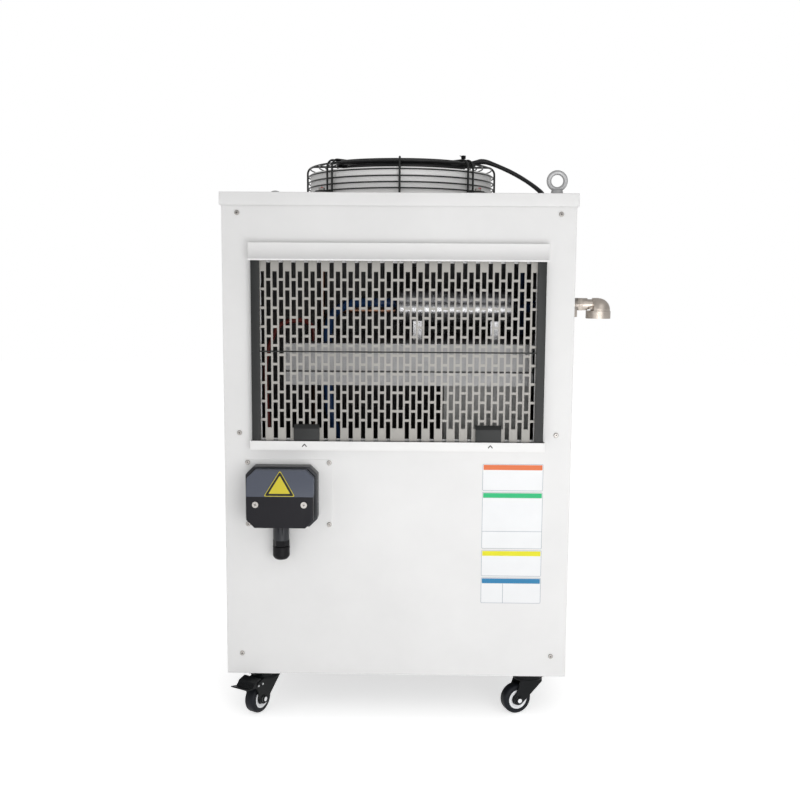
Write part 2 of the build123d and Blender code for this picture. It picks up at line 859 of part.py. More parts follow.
foot_places = [
    (foot_radius * cos(radians(turn)), foot_radius * sin(radians(turn))) for turn in (45, 135, 225, 315)
]
pair_turn = degrees(pair_gap / 2 / guard_radius)
wire_turns = []
for quarter in range(4):
    wire_turns += [90 * quarter, 90 * quarter + 45 - pair_turn, 90 * quarter + 45 + pair_turn]
middle = Axis(place(0, 0, 0), (0, 0, 1))
with BuildPart() as fan_guard:
    for turn in wire_turns:
        add(guard_wire.part.rotate(middle, turn))
    for height in wall_ring_heights:
        add(ring(guard_radius, height))
    for step in range(top_ring_count):
        add(ring(top_ring_edge - step * top_ring_step, guard_top))
    with BuildSketch(level(wire_top + guard_wire_radius - weld_sink)):
        Circle(guard_disc_radius)
    extrude(amount=guard_disc)
    for across, back in foot_places:
        turn = degrees(atan2(back, across))
        foot_length = foot_radius - wire_out + foot_width / 2
        centre_out = (foot_radius + wire_out + foot_width / 2) / 2
        place_x = centre_out * cos(radians(turn))
        place_y = centre_out * sin(radians(turn))
        with BuildSketch(level(lid_up + spacer_height, place_x, place_y)):
            Rectangle(foot_length, foot_width, rotation=turn)
        extrude(amount=foot_thick)
        with BuildSketch(level(lid_up + spacer_height, across, back)):
            Circle(fan_bolt_radius + 0.2)
        extrude(amount=foot_thick, mode=Mode.SUBTRACT)
save(fan_guard, "fan_guard")

with BuildPart() as fan_bolts:
    for across, back in foot_places:
        with BuildSketch(level(lid_up, across, back)):
            Circle(spacer_radius)
        extrude(amount=spacer_height)
        with BuildSketch(level(lid_up + spacer_height, across, back)):
            Circle(fan_bolt_radius)
        extrude(amount=foot_thick)
        with BuildSketch(level(lid_up + spacer_height + foot_thick, across, back)):
            RegularPolygon(fan_bolt_head_radius, 6)
        extrude(amount=fan_bolt_head)
save(fan_bolts, "fan_bolts")

exit_turn = 226.0

# Fan motor: the fixed half, hung from the guard's wires, with the shaft that the rotor turns on
flange_top = wire_top - guard_wire_radius * cos(radians(30))
with BuildPart() as fan_motor:
    with BuildSketch(level(flange_top)):
        Circle(motor_flange_radius)
    extrude(amount=-motor_flange)
    with BuildSketch(level(flange_top - motor_flange)):
        Circle(motor_boss_radius)
    extrude(amount=-(flange_top - motor_flange - lid_up - hub_high - motor_gap))
    with BuildSketch(level(lid_up + hub_high + motor_gap)):
        Circle(shaft_radius)
    extrude(amount=-(shaft_depth + motor_gap))
    exit_middle = cable_exit_reach / 2
    exit_place = (exit_middle * cos(radians(exit_turn)), exit_middle * sin(radians(exit_turn)))
    with BuildSketch(level(lid_up + hub_high + motor_gap, *exit_place)):
        Rectangle(cable_exit_reach, cable_exit_width, rotation=exit_turn)
    extrude(amount=flange_top - motor_flange - lid_up - hub_high - motor_gap)
save(fan_motor, "fan_motor")

# Fan rotor: a hub with pitched blades
with BuildPart(mode=Mode.PRIVATE) as blade:
    for reach, chord, pitch in (
        (hub_radius - 6, blade_root_chord, blade_root_pitch),
        (blade_radius + 6, blade_tip_chord, blade_tip_pitch),
    ):
        with BuildSketch(facing_right(reach, 0, lid_up + blade_middle)):
            Rectangle(chord, blade_thick, rotation=pitch)
    loft()
with BuildPart() as fan_rotor:
    for number in range(blade_count):
        add(blade.part.rotate(middle, number * 360 / blade_count))
    with BuildSketch(level(lid_up)):
        Circle(blade_radius)
    extrude(amount=shroud_height, mode=Mode.INTERSECT)
    with BuildSketch(level(lid_up + hub_low)):
        Circle(hub_radius)
    extrude(amount=hub_high - hub_low)
    with BuildSketch(level(lid_up + hub_high)):
        Circle(shaft_radius + shaft_clearance)
    extrude(amount=-(shaft_depth + 0.3), mode=Mode.SUBTRACT)
save(fan_rotor, "fan_rotor")

# Cables: from the motor, round inside the guard's front, out beside its right pair of wires and down to
# the grommets in the lid. Heights are above the lid.
cable_routes = {
    "fan_cable": [
        (-30.84, -25.82, 54.6),
        (-53.07, -48.84, 54.6),
        (-76, -70, 57),
        (-93, -89, 58),
        (-102.5, -108, 58.1),
        (-93, -128, 58.1),
        (-65, -143, 58.1),
        (-22, -154, 58.1),
        (24, -154.5, 58),
        (66, -141.5, 58.1),
        (98, -120.5, 58.1),
        (119, -101.5, 58.6),
        (141, -93, 61.8),
        (166, -94.5, 58),
        (192, -96, 48.5),
        (214, -96, 36),
        (230, -96, 22.5),
        (243, -96, 8),
        (243, -96, -cable_in_drop),
    ],
    "capacitor_cable": [
        (-24.73, -31.72, 54.6),
        (-45.57, -53.3, 54.6),
        (-63, -78, 52),
        (-77, -98, 51),
        (-83, -118, 50.8),
        (-71, -138, 50.8),
        (-38, -152, 50.8),
        (8, -156.5, 50.8),
        (52, -147.5, 50.8),
        (88, -128, 50.8),
        (114, -104, 51),
        (138, -86.5, 54),
        (165, -79, 55.5),
        (191, -80, 48.5),
        (214, -80, 37.5),
        (234, -80, 23.5),
        (249, -80, 8),
        (249, -80, -cable_in_drop),
    ],
}
cable_low = min(up for points in cable_routes.values() for x, y, up in points[4:11]) - cable_radius - 0.1
for name, route_points in cable_routes.items():
    lifted = [(x, y, lid_up + up) for x, y, up in route_points]
    pipe, length, radii = tube(lifted, cable_radius)
    with BuildPart() as cable:
        add(pipe)
    save(cable, name)
    print(name, "length", round(length, 1), "arc radii", [round(radius) for radius in radii])

# Cable ties: a flat band round both cables and the guard's outer top ring, with its lock on top
tie_low = cable_low - tie_wall
tie_high = guard_top + ring_wire_radius + 0.3
tie_in = top_ring_edge - 5.8
tie_out = top_ring_edge + 4.9
with BuildPart() as cable_ties:
    for turn in tie_turns:
        outward = Vector(cos(radians(turn)), sin(radians(turn)), 0)
        across = Vector(sin(radians(turn)), -cos(radians(turn)), 0)
        band_plane = Plane(origin=place(0, 0, lid_up), x_dir=outward, z_dir=across)
        band_middle = ((tie_in + tie_out) / 2, (tie_low + tie_wall + tie_high) / 2)
        inside_width = tie_out - tie_in
        inside_height = tie_high - tie_low - tie_wall
        with BuildSketch(band_plane):
            with Locations(band_middle):
                RectangleRounded(inside_width + 2 * tie_wall, inside_height + 2 * tie_wall, 3)
                RectangleRounded(inside_width, inside_height, 2, mode=Mode.SUBTRACT)
        extrude(amount=tie_width / 2, both=True)
        with BuildSketch(band_plane):
            with Locations((band_middle[0], tie_high + tie_wall)):
                Rectangle(tie_head, tie_head, align=(Align.CENTER, Align.MIN))
        extrude(amount=(tie_width + 0.4) / 2, both=True)
save(cable_ties, "cable_ties")

with BuildPart() as cable_grommets:
    for across, back in cable_places:
        with BuildSketch(level(lid_up - sheet - grommet_lip, across, back)):
            Circle(grommet_radius)
        extrude(amount=sheet + 2 * grommet_lip)
        with BuildSketch(level(lid_up - sheet, across, back)):
            Circle(grommet_radius + 1)
            Circle(grommet_radius - grommet_groove, mode=Mode.SUBTRACT)
        extrude(amount=sheet, mode=Mode.SUBTRACT)
        with BuildSketch(level(lid_up - sheet - grommet_lip, across, back)):
            Circle(cable_radius)
        extrude(amount=sheet + 2 * grommet_lip, mode=Mode.SUBTRACT)
save(cable_grommets, "cable_grommets")

# Casters
casters = {
    "front_left": (-caster_across, -caster_forward, -120.0, True),
    "front_right": (caster_across, -caster_forward, -158.3, False),
    "rear_left": (-caster_across, caster_forward, -131.0, True),
    "rear_right": (caster_across, caster_forward, -101.0, False),
}
raceway_low = fork_top_up + raceway_gap
fork_top_low = fork_top_up - fork_top_sheet
with BuildPart() as caster_plates:
    for across, back, turn, braked in casters.values():
        with BuildSketch(level(base_up - caster_sheet, across, back)):
            RectangleRounded(plate_side, plate_side, mount_corner)
        extrude(amount=caster_sheet)
        with BuildSketch(level(raceway_low, across, back)):
            Circle(raceway_radius)
        extrude(amount=base_up - caster_sheet - raceway_low)
        with BuildSketch(level(fork_top_low - raceway_gap - kingpin_head, across, back)):
            Circle(kingpin_radius)
        extrude(amount=fork_top_sheet + 2 * raceway_gap + kingpin_head)
        with BuildSketch(level(fork_top_low - raceway_gap - kingpin_head, across, back)):
            Circle(kingpin_head_radius)
        extrude(amount=kingpin_head)
save(caster_plates, "caster_plates")

pivot = (pedal_pivot_out, pedal_pivot_up)
axle = (caster_trail, wheel_radius)


def from_pivot(out, up):
    """A point of the pedal, given from its pivot."""
    return (pedal_pivot_out + out, pedal_pivot_up + up)


pedal_crest = from_pivot(10.4, 7.6)
tread_top = from_pivot(-1.5, 12.0)
tread_crest = from_pivot(12.6, 8.6)
tread_heel = from_pivot(19.0, 1.2)
tread_lip = from_pivot(33.0, 4.2)
cheek_low = from_pivot(9.0, -0.6)
cheek_high = from_pivot(8.0, 9.2)
tread_grooves = [from_pivot(15.2, 7.0), from_pivot(16.9, 5.0)]
rivet_places = [pivot, from_pivot(-rivet_pitch, 0)]
for corner, (across, back, turn, braked) in casters.items():
    trail = Vector(cos(radians(turn)), sin(radians(turn)), 0)
    roll = Vector(sin(radians(turn)), -cos(radians(turn)), 0)
    middle_plane = Plane(origin=place(across, back, 0), x_dir=trail, z_dir=roll)
    outer = fork_inside / 2 + fork_sheet

    with BuildPart() as fork:
        for inner in (fork_inside / 2, -outer):
            with BuildSketch(middle_plane.offset(inner)):
                with Locations(axle):
                    Circle(fork_boss_radius)
                with Locations((fork_brow_out, fork_top_up)):
                    Rectangle(fork_brow_width, fork_brow_height, align=(Align.CENTER, Align.MAX))
                if braked:
                    with Locations(pivot):
                        Circle(pedal_boss_radius + 1)
                make_hull()
            extrude(amount=fork_sheet)
        with BuildSketch(Plane(origin=place(across, back, fork_top_low), x_dir=trail, z_dir=(0, 0, 1))):
            Circle(fork_disc_radius)
        extrude(amount=fork_top_sheet)
        with BuildSketch(Plane(origin=place(across, back, fork_top_low), x_dir=trail, z_dir=(0, 0, 1))):
            Circle(kingpin_radius + axle_clearance)
        extrude(amount=fork_top_sheet, mode=Mode.SUBTRACT)
        with BuildSketch(middle_plane.offset(-outer - axle_head)):
            with Locations(axle):
                Circle(axle_head_radius)
        extrude(amount=axle_head)
        with BuildSketch(middle_plane.offset(outer)):
            with Locations(axle):
                RegularPolygon(axle_head_radius, 6)
        extrude(amount=axle_head)
        with BuildSketch(middle_plane.offset(-outer)):
            with Locations(axle):
                Circle(axle_radius)
        extrude(amount=2 * outer)
        if braked:
            with BuildSketch(middle_plane.offset(-outer)):
                with Locations(pivot):
                    Circle(pedal_pin_radius)
            extrude(amount=2 * outer)
            for face in (-outer - rivet_head, outer):
                with BuildSketch(middle_plane.offset(face)):
                    with Locations(*rivet_places):
                        Circle(rivet_radius)
                extrude(amount=rivet_head)
    save(fork, f"{corner}_fork")

    wheel_plane = Plane(origin=middle_plane.from_local_coords(Vector(*axle, 0)), x_dir=trail, z_dir=(0, 0, 1))
    wheel_axis = Axis(wheel_plane.origin, roll)
    rolling = Plane(origin=wheel_plane.origin, x_dir=(0, 0, 1), z_dir=trail)
    with BuildPart() as rim:
        with BuildSketch(rolling):
            with Locations((0, 0)):
                Rectangle(rim_hub_radius, hub_width, align=(Align.MIN, Align.CENTER))
                Rectangle(rim_radius, rim_web, align=(Align.MIN, Align.CENTER))
            with Locations((rim_radius, 0)):
                Rectangle(rim_ring, tyre_width, align=(Align.MAX, Align.CENTER))
            Rectangle(axle_radius + axle_clearance, hub_width, align=(Align.MIN, Align.CENTER), mode=Mode.SUBTRACT)
        revolve(axis=wheel_axis)
    save(rim, f"{corner}_rim")

    with BuildPart() as tyre:
        with BuildSketch(rolling) as section:
            with Locations((rim_radius, 0)):
                Rectangle(wheel_radius - rim_radius, tyre_width, align=(Align.MIN, Align.CENTER))
            chamfer(section.vertices().group_by(Axis.Z)[-1], length=tyre_edge)
        revolve(axis=wheel_axis)
    save(tyre, f"{corner}_tyre")

    if braked:
        with BuildPart() as pedal:
            with BuildSketch(middle_plane.offset(-pedal_width / 2)):
                with Locations(pivot):
                    Circle(pedal_boss_radius)
                with Locations(pedal_crest):
                    Circle(pedal_thick)
                make_hull()
                with Locations(pivot):
                    Circle(pedal_pin_radius + axle_clearance, mode=Mode.SUBTRACT)
            extrude(amount=pedal_width)
            with BuildSketch(middle_plane.offset(-tread_width / 2)):
                with BuildLine():
                    FilletPolyline(tread_top, tread_crest, tread_heel, tread_lip, radius=tread_bend)
                    offset(amount=pedal_thick / 2, side=Side.BOTH)
                make_face()
                with Locations(*tread_grooves):
                    Circle(groove_radius, mode=Mode.SUBTRACT)
            extrude(amount=tread_width)
            for end in (-tread_width / 2, tread_width / 2 - pedal_thick):
                with BuildSketch(middle_plane.offset(end)):
                    with BuildLine():
                        Polyline(cheek_low, cheek_high, tread_crest, tread_heel, close=True)
                    make_face()
                extrude(amount=pedal_thick)
        save(pedal, f"{corner}_pedal")

# Shelf: a folded sheet from the back and right panels, with a stepped apron in front
shelf_right = pan_width / 2
shelf_width = shelf_left + shelf_right
shelf_middle = (shelf_right - shelf_left) / 2
post_clear = post_leg + 1
hose_through = (-125.0, -100.0)
with BuildPart() as shelf:
    with BuildSketch(level(shelf_up - sheet)):
        with Locations((shelf_middle, -shelf_forward)):
            Rectangle(shelf_width, shelf_forward + pan_depth / 2 - post_clear, align=(Align.CENTER, Align.MIN))
        with Locations((shelf_middle - post_clear / 2, pan_depth / 2)):
            Rectangle(shelf_width - post_clear, 2 * post_clear, align=(Align.CENTER, Align.MAX))
        with Locations(hose_through):
            Circle(hose_radius + 3, mode=Mode.SUBTRACT)
        with Locations((-shelf_left, 80)):
            Rectangle(2 * shelf_notch, 130, mode=Mode.SUBTRACT)
        with Locations((filler_across, filler_back)):
            Circle(filler_bore_radius + 2, mode=Mode.SUBTRACT)
    extrude(amount=sheet)
    apron_right = 226.0
    apron_width = shelf_left + apron_right
    with BuildSketch(facing_right(-shelf_left)):
        with BuildLine():
            Polyline(
                (-shelf_forward + sheet, shelf_up),
                (-shelf_forward, shelf_up),
                (-shelf_forward, shelf_up - apron_upper),
                (-shelf_forward - apron_step, shelf_up - apron_upper - 2),
                (-shelf_forward - apron_step, shelf_up - apron_upper - apron_lower),
                (-shelf_forward - apron_step + sheet, shelf_up - apron_upper - apron_lower),
                (-shelf_forward - apron_step + sheet, shelf_up - apron_upper - 2 - sheet),
                (-shelf_forward + sheet, shelf_up - apron_upper - sheet),
                close=True,
            )
        make_face()
    extrude(amount=apron_width)
save(shelf, "shelf")

# Evaporator shell on two saddles on the shelf
evaporator_up = shelf_up + 24 + evaporator_radius
evaporator_y = 0.0
with BuildPart() as evaporator:
    with BuildSketch(facing_right(evaporator_across - evaporator_length / 2, evaporator_y, evaporator_up)):
        Circle(evaporator_radius)
    extrude(amount=evaporator_length)
    fillet(evaporator.edges(), radius=10)
    for reach in (-70, 70):
        with BuildSketch(level(shelf_up, evaporator_across + reach, evaporator_y)):
            Rectangle(16, 1.4 * evaporator_radius)
        extrude(amount=evaporator_up - shelf_up - evaporator_radius * 0.7)
save(evaporator, "evaporator")

# Control box under the shelf, with three upright slots in its face
control_front = -shelf_forward + sheet + 0.5
with BuildPart() as control_box:
    with BuildSketch(level(shelf_up - sheet, control_across, control_front + control_depth / 2)):
        Rectangle(control_width, control_depth)
    extrude(amount=-control_height)
    with BuildSketch(facing_front(control_front, control_across, 0)):
        with Locations(*[(control_slot_pitch * step, 519.0) for step in (-0.9, 0.1, 1.1)]):
            SlotOverall(control_slot_length, control_slot_width, rotation=90)
    extrude(amount=-6, mode=Mode.SUBTRACT)
save(control_box, "control_box")

# Water tank, compressor and pump on the base pan
pan_up = base_up + pan_sheet
with BuildPart() as water_tank:
    with BuildSketch(level(pan_up, tank_across, tank_back)):
        RectangleRounded(tank_width, tank_depth, tank_corner)
    extrude(amount=tank_height)
save(water_tank, "water_tank")

with BuildPart() as compressor:
    with BuildSketch(level(pan_up + compressor_foot, compressor_across, compressor_back)):
        Circle(compressor_radius)
    extrude(amount=compressor_height)
    fillet(compressor.edges(), radius=28)
    with BuildSketch(level(pan_up + compressor_foot, compressor_across, compressor_back)):
        for turn in (30, 150, 270):
            with Locations((88 * cos(radians(turn)), 88 * sin(radians(turn)))):
                Circle(14)
        make_hull()
    extrude(amount=4)
    with BuildSketch(level(pan_up, compressor_across, compressor_back)):
        for turn in (30, 150, 270):
            with Locations((88 * cos(radians(turn)), 88 * sin(radians(turn)))):
                Circle(11)
    extrude(amount=compressor_foot)
save(compressor, "compressor")

pump_up = pan_up + pump_foot + pump_radius
with BuildPart() as pump:
    with BuildSketch(facing_right(pump_across - pump_length / 2, -pump_forward, pump_up)):
        Circle(pump_radius)
    extrude(amount=pump_length)
    with BuildSketch(facing_right(pump_across - pump_length / 2 - pump_volute, -pump_forward, pump_up)):
        Circle(pump_volute_radius)
    extrude(amount=pump_volute)
    with BuildSketch(level(pan_up, pump_across, -pump_forward)):
        Rectangle(pump_length * 0.8, pump_radius * 1.6)
    extrude(amount=pump_foot + pump_radius / 2)
save(pump, "pump")

# Condenser coil under the fan: a finned block between two end plates with brackets to the side panels
with BuildPart() as condenser_coil:
    with BuildSketch(level(coil_up)):
        Rectangle(coil_width, coil_depth)
    extrude(amount=coil_height)
    with BuildSketch(facing_front(coil_depth / 2, 0, coil_up + coil_height)):
        with GridLocations(coil_width / coil_fins, 1, coil_fins, 1):
            Rectangle(coil_width / coil_fins - 4, 2 * coil_groove)
    extrude(amount=coil_depth, mode=Mode.SUBTRACT)
    with BuildSketch(level(coil_up)):
        Rectangle(pan_width, coil_bracket_depth)
    extrude(amount=sheet)
save(condenser_coil, "condenser_coil")

# Coolant hoses, refrigerant pipes and wires
tank_top = pan_up + tank_height
outlet_x = side - port_inside
evaporator_left = evaporator_across - evaporator_length / 2
evaporator_right = evaporator_across + evaporator_length / 2
pump_end = pump_across + pump_length / 2
hose_routes = [
    [
        (evaporator_left, 0, evaporator_up + 8),
        (-45, 0, evaporator_up + 8),
        (-85, -28, evaporator_up + 9),
        (-117, -66, evaporator_up - 6),
        (-125, -98, 640),
        (-125, -101, 560),
        (-118, -100, 470),
        (-60, -30, 385),
        (20, 60, 378),
        (50, 84, 362),
        (50, 84, tank_top),
    ],
    [
        (outlet_x, -outlet_forward, outlet_up),
        (251, -outlet_forward, outlet_up),
        (238, -outlet_forward + 1, outlet_up - 14),
        (238, -outlet_forward, 640),
        (246, -outlet_forward - 1, 520),
        (246, -outlet_forward, 300),
        (220, -168, 190),
        (170, -pump_forward, pump_up),
        (pump_end, -pump_forward, pump_up),
    ],
    [
        (outlet_x, inlet_back, outlet_up - inlet_drop),
        (252, inlet_back, outlet_up - inlet_drop),
        (242, inlet_back - 20, 680),
        (244, 30, 679),
        (236, 0, evaporator_up),
        (evaporator_right, 0, evaporator_up),
    ],
    [
        (filler_across, filler_back, lid_up - sheet - filler_depth),
        (filler_across, filler_back, tank_top),
    ],
]
with BuildPart() as coolant_hoses:
    for route_points in hose_routes:
        pipe, length, radii = tube(route_points, hose_radius)
        add(pipe)
save(coolant_hoses, "coolant_hoses")

compressor_top = pan_up + compressor_foot + compressor_height
pipe_routes = [
    [
        (compressor_across + 20, compressor_back, compressor_top),
        (compressor_across + 20, compressor_back, 430),
        (compressor_across, compressor_back - 15, 540),
        (compressor_across, compressor_back - 15, coil_up),
    ],
    [
        (compressor_across - 20, compressor_back + 10, compressor_top),
        (compressor_across - 20, compressor_back + 10, 500),
        (compressor_across - 15, compressor_back - 40, 640),
        (compressor_across + 30, 12, 672),
        (evaporator_left, 12, 672),
    ],
]
with BuildPart() as copper_pipes:
    for route_points in pipe_routes:
        pipe, length, radii = tube(route_points, copper_radius)
        add(pipe)
save(copper_pipes, "copper_pipes")

with BuildPart() as wiring_loom:
    pipe, length, radii = tube(
        [
            (box_across, -front + sheet, box_up),
            (-206, -190, 400),
            (-222, -165, 500),
            (-226, -150, 600),
            (-206, -120, 655),
            (-165, -96, 658),
            (-150, -84, 645),
            (-150, -84, shelf_up),
        ],
        loom_radius,
    )
    add(pipe)
save(wiring_loom, "wiring_loom")

# Filler neck and cap on the lid
with BuildPart() as filler_neck:
    with BuildSketch(level(lid_up, filler_across, filler_back)):
        Circle(filler_flange_radius)
    extrude(amount=filler_flange)
    with BuildSketch(level(lid_up - sheet - filler_depth, filler_across, filler_back)):
        Circle(filler_radius)
    extrude(amount=sheet + filler_depth + filler_height)
    with BuildSketch(level(lid_up - sheet - filler_depth, filler_across, filler_back)):
        Circle(filler_bore_radius)
    extrude(amount=sheet + filler_depth + filler_height, mode=Mode.SUBTRACT)
save(filler_neck, "filler_neck")

cap_low = lid_up + filler_flange + cap_gap
cap_inside = filler_radius + cap_gap
cap_top_inside = lid_up + filler_height + cap_gap
with BuildPart() as filler_cap:
    with BuildSketch(level(cap_low, filler_across, filler_back)):
        Circle(cap_inside + cap_wall)
        with PolarLocations(cap_inside + cap_wall, cap_grips):
            Circle(1.5)
    extrude(amount=cap_height)
    with BuildSketch(level(cap_low, filler_across, filler_back)):
        Circle(cap_inside)
    extrude(amount=cap_top_inside - cap_low, mode=Mode.SUBTRACT)
save(filler_cap, "filler_cap")

# Controller in the back panel, and its window
with BuildPart() as controller:
    with BuildSketch(facing_front(front, 0, controller_up)):
        Rectangle(controller_width, controller_height)
    extrude(amount=-controller_bezel)
    fillet(controller.edges().filter_by(Axis.Y), radius=3)
    with BuildSketch(facing_front(front, 0, controller_up)):
        Rectangle(controller_body_width - 0.4, controller_body_height - 0.4)
    extrude(amount=controller_body_depth)
    with BuildSketch(facing_front(front + controller_bezel, 0, controller_up)):
        Rectangle(controller_width - 2 * window_frame, controller_height - 2 * window_frame)
    extrude(amount=window_thick, mode=Mode.SUBTRACT)
save(controller, "controller")

with BuildPart() as controller_window:
    with BuildSketch(facing_front(front + controller_bezel, 0, controller_up)):
        Rectangle(controller_width - 2 * window_frame, controller_height - 2 * window_frame)
    extrude(amount=window_thick)
save(controller_window, "controller_window")
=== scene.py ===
import bpy
import bmesh
import math
from mathutils import Matrix, Vector


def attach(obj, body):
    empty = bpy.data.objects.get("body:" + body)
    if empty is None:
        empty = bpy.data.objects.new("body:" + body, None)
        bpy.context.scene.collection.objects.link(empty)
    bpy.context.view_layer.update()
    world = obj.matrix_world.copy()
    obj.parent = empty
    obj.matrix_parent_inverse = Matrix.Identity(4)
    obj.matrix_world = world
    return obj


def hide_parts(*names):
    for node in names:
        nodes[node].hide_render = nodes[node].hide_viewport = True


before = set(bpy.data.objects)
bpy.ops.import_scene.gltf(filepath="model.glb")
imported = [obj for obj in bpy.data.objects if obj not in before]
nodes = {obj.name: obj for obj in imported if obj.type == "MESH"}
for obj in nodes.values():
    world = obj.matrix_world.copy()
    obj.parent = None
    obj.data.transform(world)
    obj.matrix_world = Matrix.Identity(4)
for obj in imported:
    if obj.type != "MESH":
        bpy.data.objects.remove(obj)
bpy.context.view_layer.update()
mm = 0.001
middle = Vector((-0.03075, 0.02325, 0.0))  # middle of the cabinet on the floor, in metres
lidTop = 864.5  # height of the lid's top, in millimetres
print("frame loaded:", len(nodes), "nodes")


def at(x, y, z):
    # a point given in millimetres from the middle of the cabinet
    return middle + Vector((x, y, z)) * mm


def sized(x, y, z):
    # scales a unit shape to a size in millimetres
    return Matrix.Diagonal((x * mm, y * mm, z * mm, 1))


def turned(degrees, axis):
    return Matrix.Rotation(math.radians(degrees), 4, axis)


# Camera: just right of the middle, at about three quarters of the height, tilted down
cameraSetup = {
    "place": (24.5, -1836.4, 725.0), "left": 0.739, "down": 6.758, "roll": 0.36,
    "lens": 45.0, "sensor": 36.0, "near": 0.05, "far": 50.0,
}


def addCamera():
    data = bpy.data.cameras.new("viewCamera")
    data.lens = cameraSetup["lens"]
    data.sensor_width = cameraSetup["sensor"]
    data.clip_start = cameraSetup["near"]
    data.clip_end = cameraSetup["far"]
    camera = bpy.data.objects.new("viewCamera", data)
    bpy.context.scene.collection.objects.link(camera)
    turn = turned(cameraSetup["left"], "Z")
    tilt = turned(90.0 - cameraSetup["down"], "X")
    roll = turned(cameraSetup["roll"], "Z")
    camera.matrix_world = Matrix.Translation(at(*cameraSetup["place"])) @ turn @ tilt @ roll
    bpy.context.scene.camera = camera


addCamera()
print("camera placed")


# Material helpers: the depth of the fine textures and the space inside the panels, where the cabinet paint
# gets painted shade, in metres
textureDepth = {"peel": 0.0002, "spark": 0.00015}
cavity = {"centre": (middle.x, middle.y, 0.4625), "half": (0.2812, 0.2292, 0.4)}


def startMaterial(name):
    material = bpy.data.materials.new(name)
    material.use_nodes = True
    tree = material.node_tree
    tree.nodes.clear()
    out = tree.nodes.new("ShaderNodeOutputMaterial")
    shader = tree.nodes.new("ShaderNodeBsdfPrincipled")
    tree.links.new(shader.outputs[0], out.inputs[0])
    coords = tree.nodes.new("ShaderNodeTexCoord")
    return material, tree, shader, coords


def addNoise(tree, coords, scale, detail=3.0, rough=0.5, stretch=(1, 1, 1)):
    mapping = tree.nodes.new("ShaderNodeMapping")
    mapping.inputs["Scale"].default_value = stretch
    tree.links.new(coords.outputs["Object"], mapping.inputs["Vector"])
    noise = tree.nodes.new("ShaderNodeTexNoise")
    noise.inputs["Scale"].default_value = scale
    noise.inputs["Detail"].default_value = detail
    noise.inputs["Roughness"].default_value = rough
    tree.links.new(mapping.outputs[0], noise.inputs["Vector"])
    return noise.outputs["Fac"]


def addRamp(tree, value, stops):
    ramp = tree.nodes.new("ShaderNodeValToRGB")
    elements = ramp.color_ramp.elements
    while len(elements) < len(stops):
        elements.new(0.5)
    for element, (position, colour) in zip(elements, stops):
        element.position = position
        element.color = (*colour, 1.0)
    tree.links.new(value, ramp.inputs[0])
    return ramp.outputs[0]


def addMath(tree, operation, first, second=None):
    step = tree.nodes.new("ShaderNodeMath")
    step.operation = operation
    for slot, value in zip(step.inputs, (first, second)):
        if isinstance(value, float):
            slot.default_value = value
        elif value is not None:
            tree.links.new(value, slot)
    return step.outputs[0]


def addRange(tree, value, low, high):
    remap = tree.nodes.new("ShaderNodeMapRange")
    remap.inputs["To Min"].default_value = low
    remap.inputs["To Max"].default_value = high
    tree.links.new(value, remap.inputs["Value"])
    return remap.outputs[0]


def addBump(tree, shader, height, strength, distance):
    bump = tree.nodes.new("ShaderNodeBump")
    bump.inputs["Strength"].default_value = strength
    bump.inputs["Distance"].default_value = distance
    tree.links.new(height, bump.inputs["Height"])
    tree.links.new(bump.outputs[0], shader.inputs["Normal"])


def scaled(colour, factor):
    return tuple(min(1.0, c * factor) for c in colour)


def mottled(tree, coords, colour, noise, stops, factors):
    # two tones of the colour, mixed by a noise of this scale, detail and roughness
    value = addNoise(tree, coords, *noise)
    tones = [scaled(colour, factor) for factor in factors]
    return addRamp(tree, value, list(zip(stops, tones)))


def paintedShadeInside(tree, coords, tone, inner):
    # painted shade: the inner colour on the faces that look into the cabinet, where shade falls, the tone
    # elsewhere;
    # inputs 6 and 7 of the mix are its two colours
    parts = tree.nodes.new("ShaderNodeSeparateXYZ")
    tree.links.new(coords.outputs["Object"], parts.inputs[0])
    inside = 1.0
    for axis, centre, half in zip("XYZ", cavity["centre"], cavity["half"]):
        reach = addMath(tree, "ABSOLUTE", addMath(tree, "SUBTRACT", parts.outputs[axis], centre))
        inside = addMath(tree, "MULTIPLY", inside, addMath(tree, "LESS_THAN", reach, half))
    mix = tree.nodes.new("ShaderNodeMix")
    mix.data_type = "RGBA"
    tree.links.new(inside, mix.inputs["Factor"])
    tree.links.new(tone, mix.inputs[6])
    mix.inputs[7].default_value = (*inner, 1.0)
    return mix.outputs[2]


def paintedSheet(name, colour, roughness=0.42, grain=900.0, bump=0.12, spread=0.03, specular=0.45,
                 inner=None):
    # powder coat: orange peel in the gloss, faint clouds in the colour
    material, tree, shader, coords = startMaterial(name)
    tone = mottled(tree, coords, colour, (6.0, 4.0, 0.6), (0.3, 0.7), (1 - spread, 1 + spread))
    # inner is a near black colour painted as shade on the faces inside the cabinet
    if inner:
        tone = paintedShadeInside(tree, coords, tone, inner)
    tree.links.new(tone, shader.inputs["Base Color"])
    peel = addNoise(tree, coords, grain, 2.0, 0.5)
    tree.links.new(addRange(tree, peel, roughness - 0.06, roughness + 0.06), shader.inputs["Roughness"])
    shader.inputs["Specular IOR Level"].default_value = specular
    addBump(tree, shader, peel, bump, textureDepth["peel"])
    return material


def mouldedPlastic(name, colour, roughness=0.5, grain=1400.0, bump=0.25, spread=0.12, specular=0.35):
    # moulded plastic: fine spark texture with rubbed, lighter patches
    material, tree, shader, coords = startMaterial(name)
    shader.inputs["Base Color"].default_value = (*colour, 1.0)
    if spread:
        tone = mottled(tree, coords, colour, (25.0, 5.0, 0.65), (0.25, 0.75), (1 - spread, 1 + spread))
        tree.links.new(tone, shader.inputs["Base Color"])
    spark = addNoise(tree, coords, grain, 2.0, 0.5)
    tree.links.new(addRange(tree, spark, roughness - 0.08, roughness + 0.08), shader.inputs["Roughness"])
    shader.inputs["Specular IOR Level"].default_value = specular
    addBump(tree, shader, spark, bump, textureDepth["spark"])
    return material


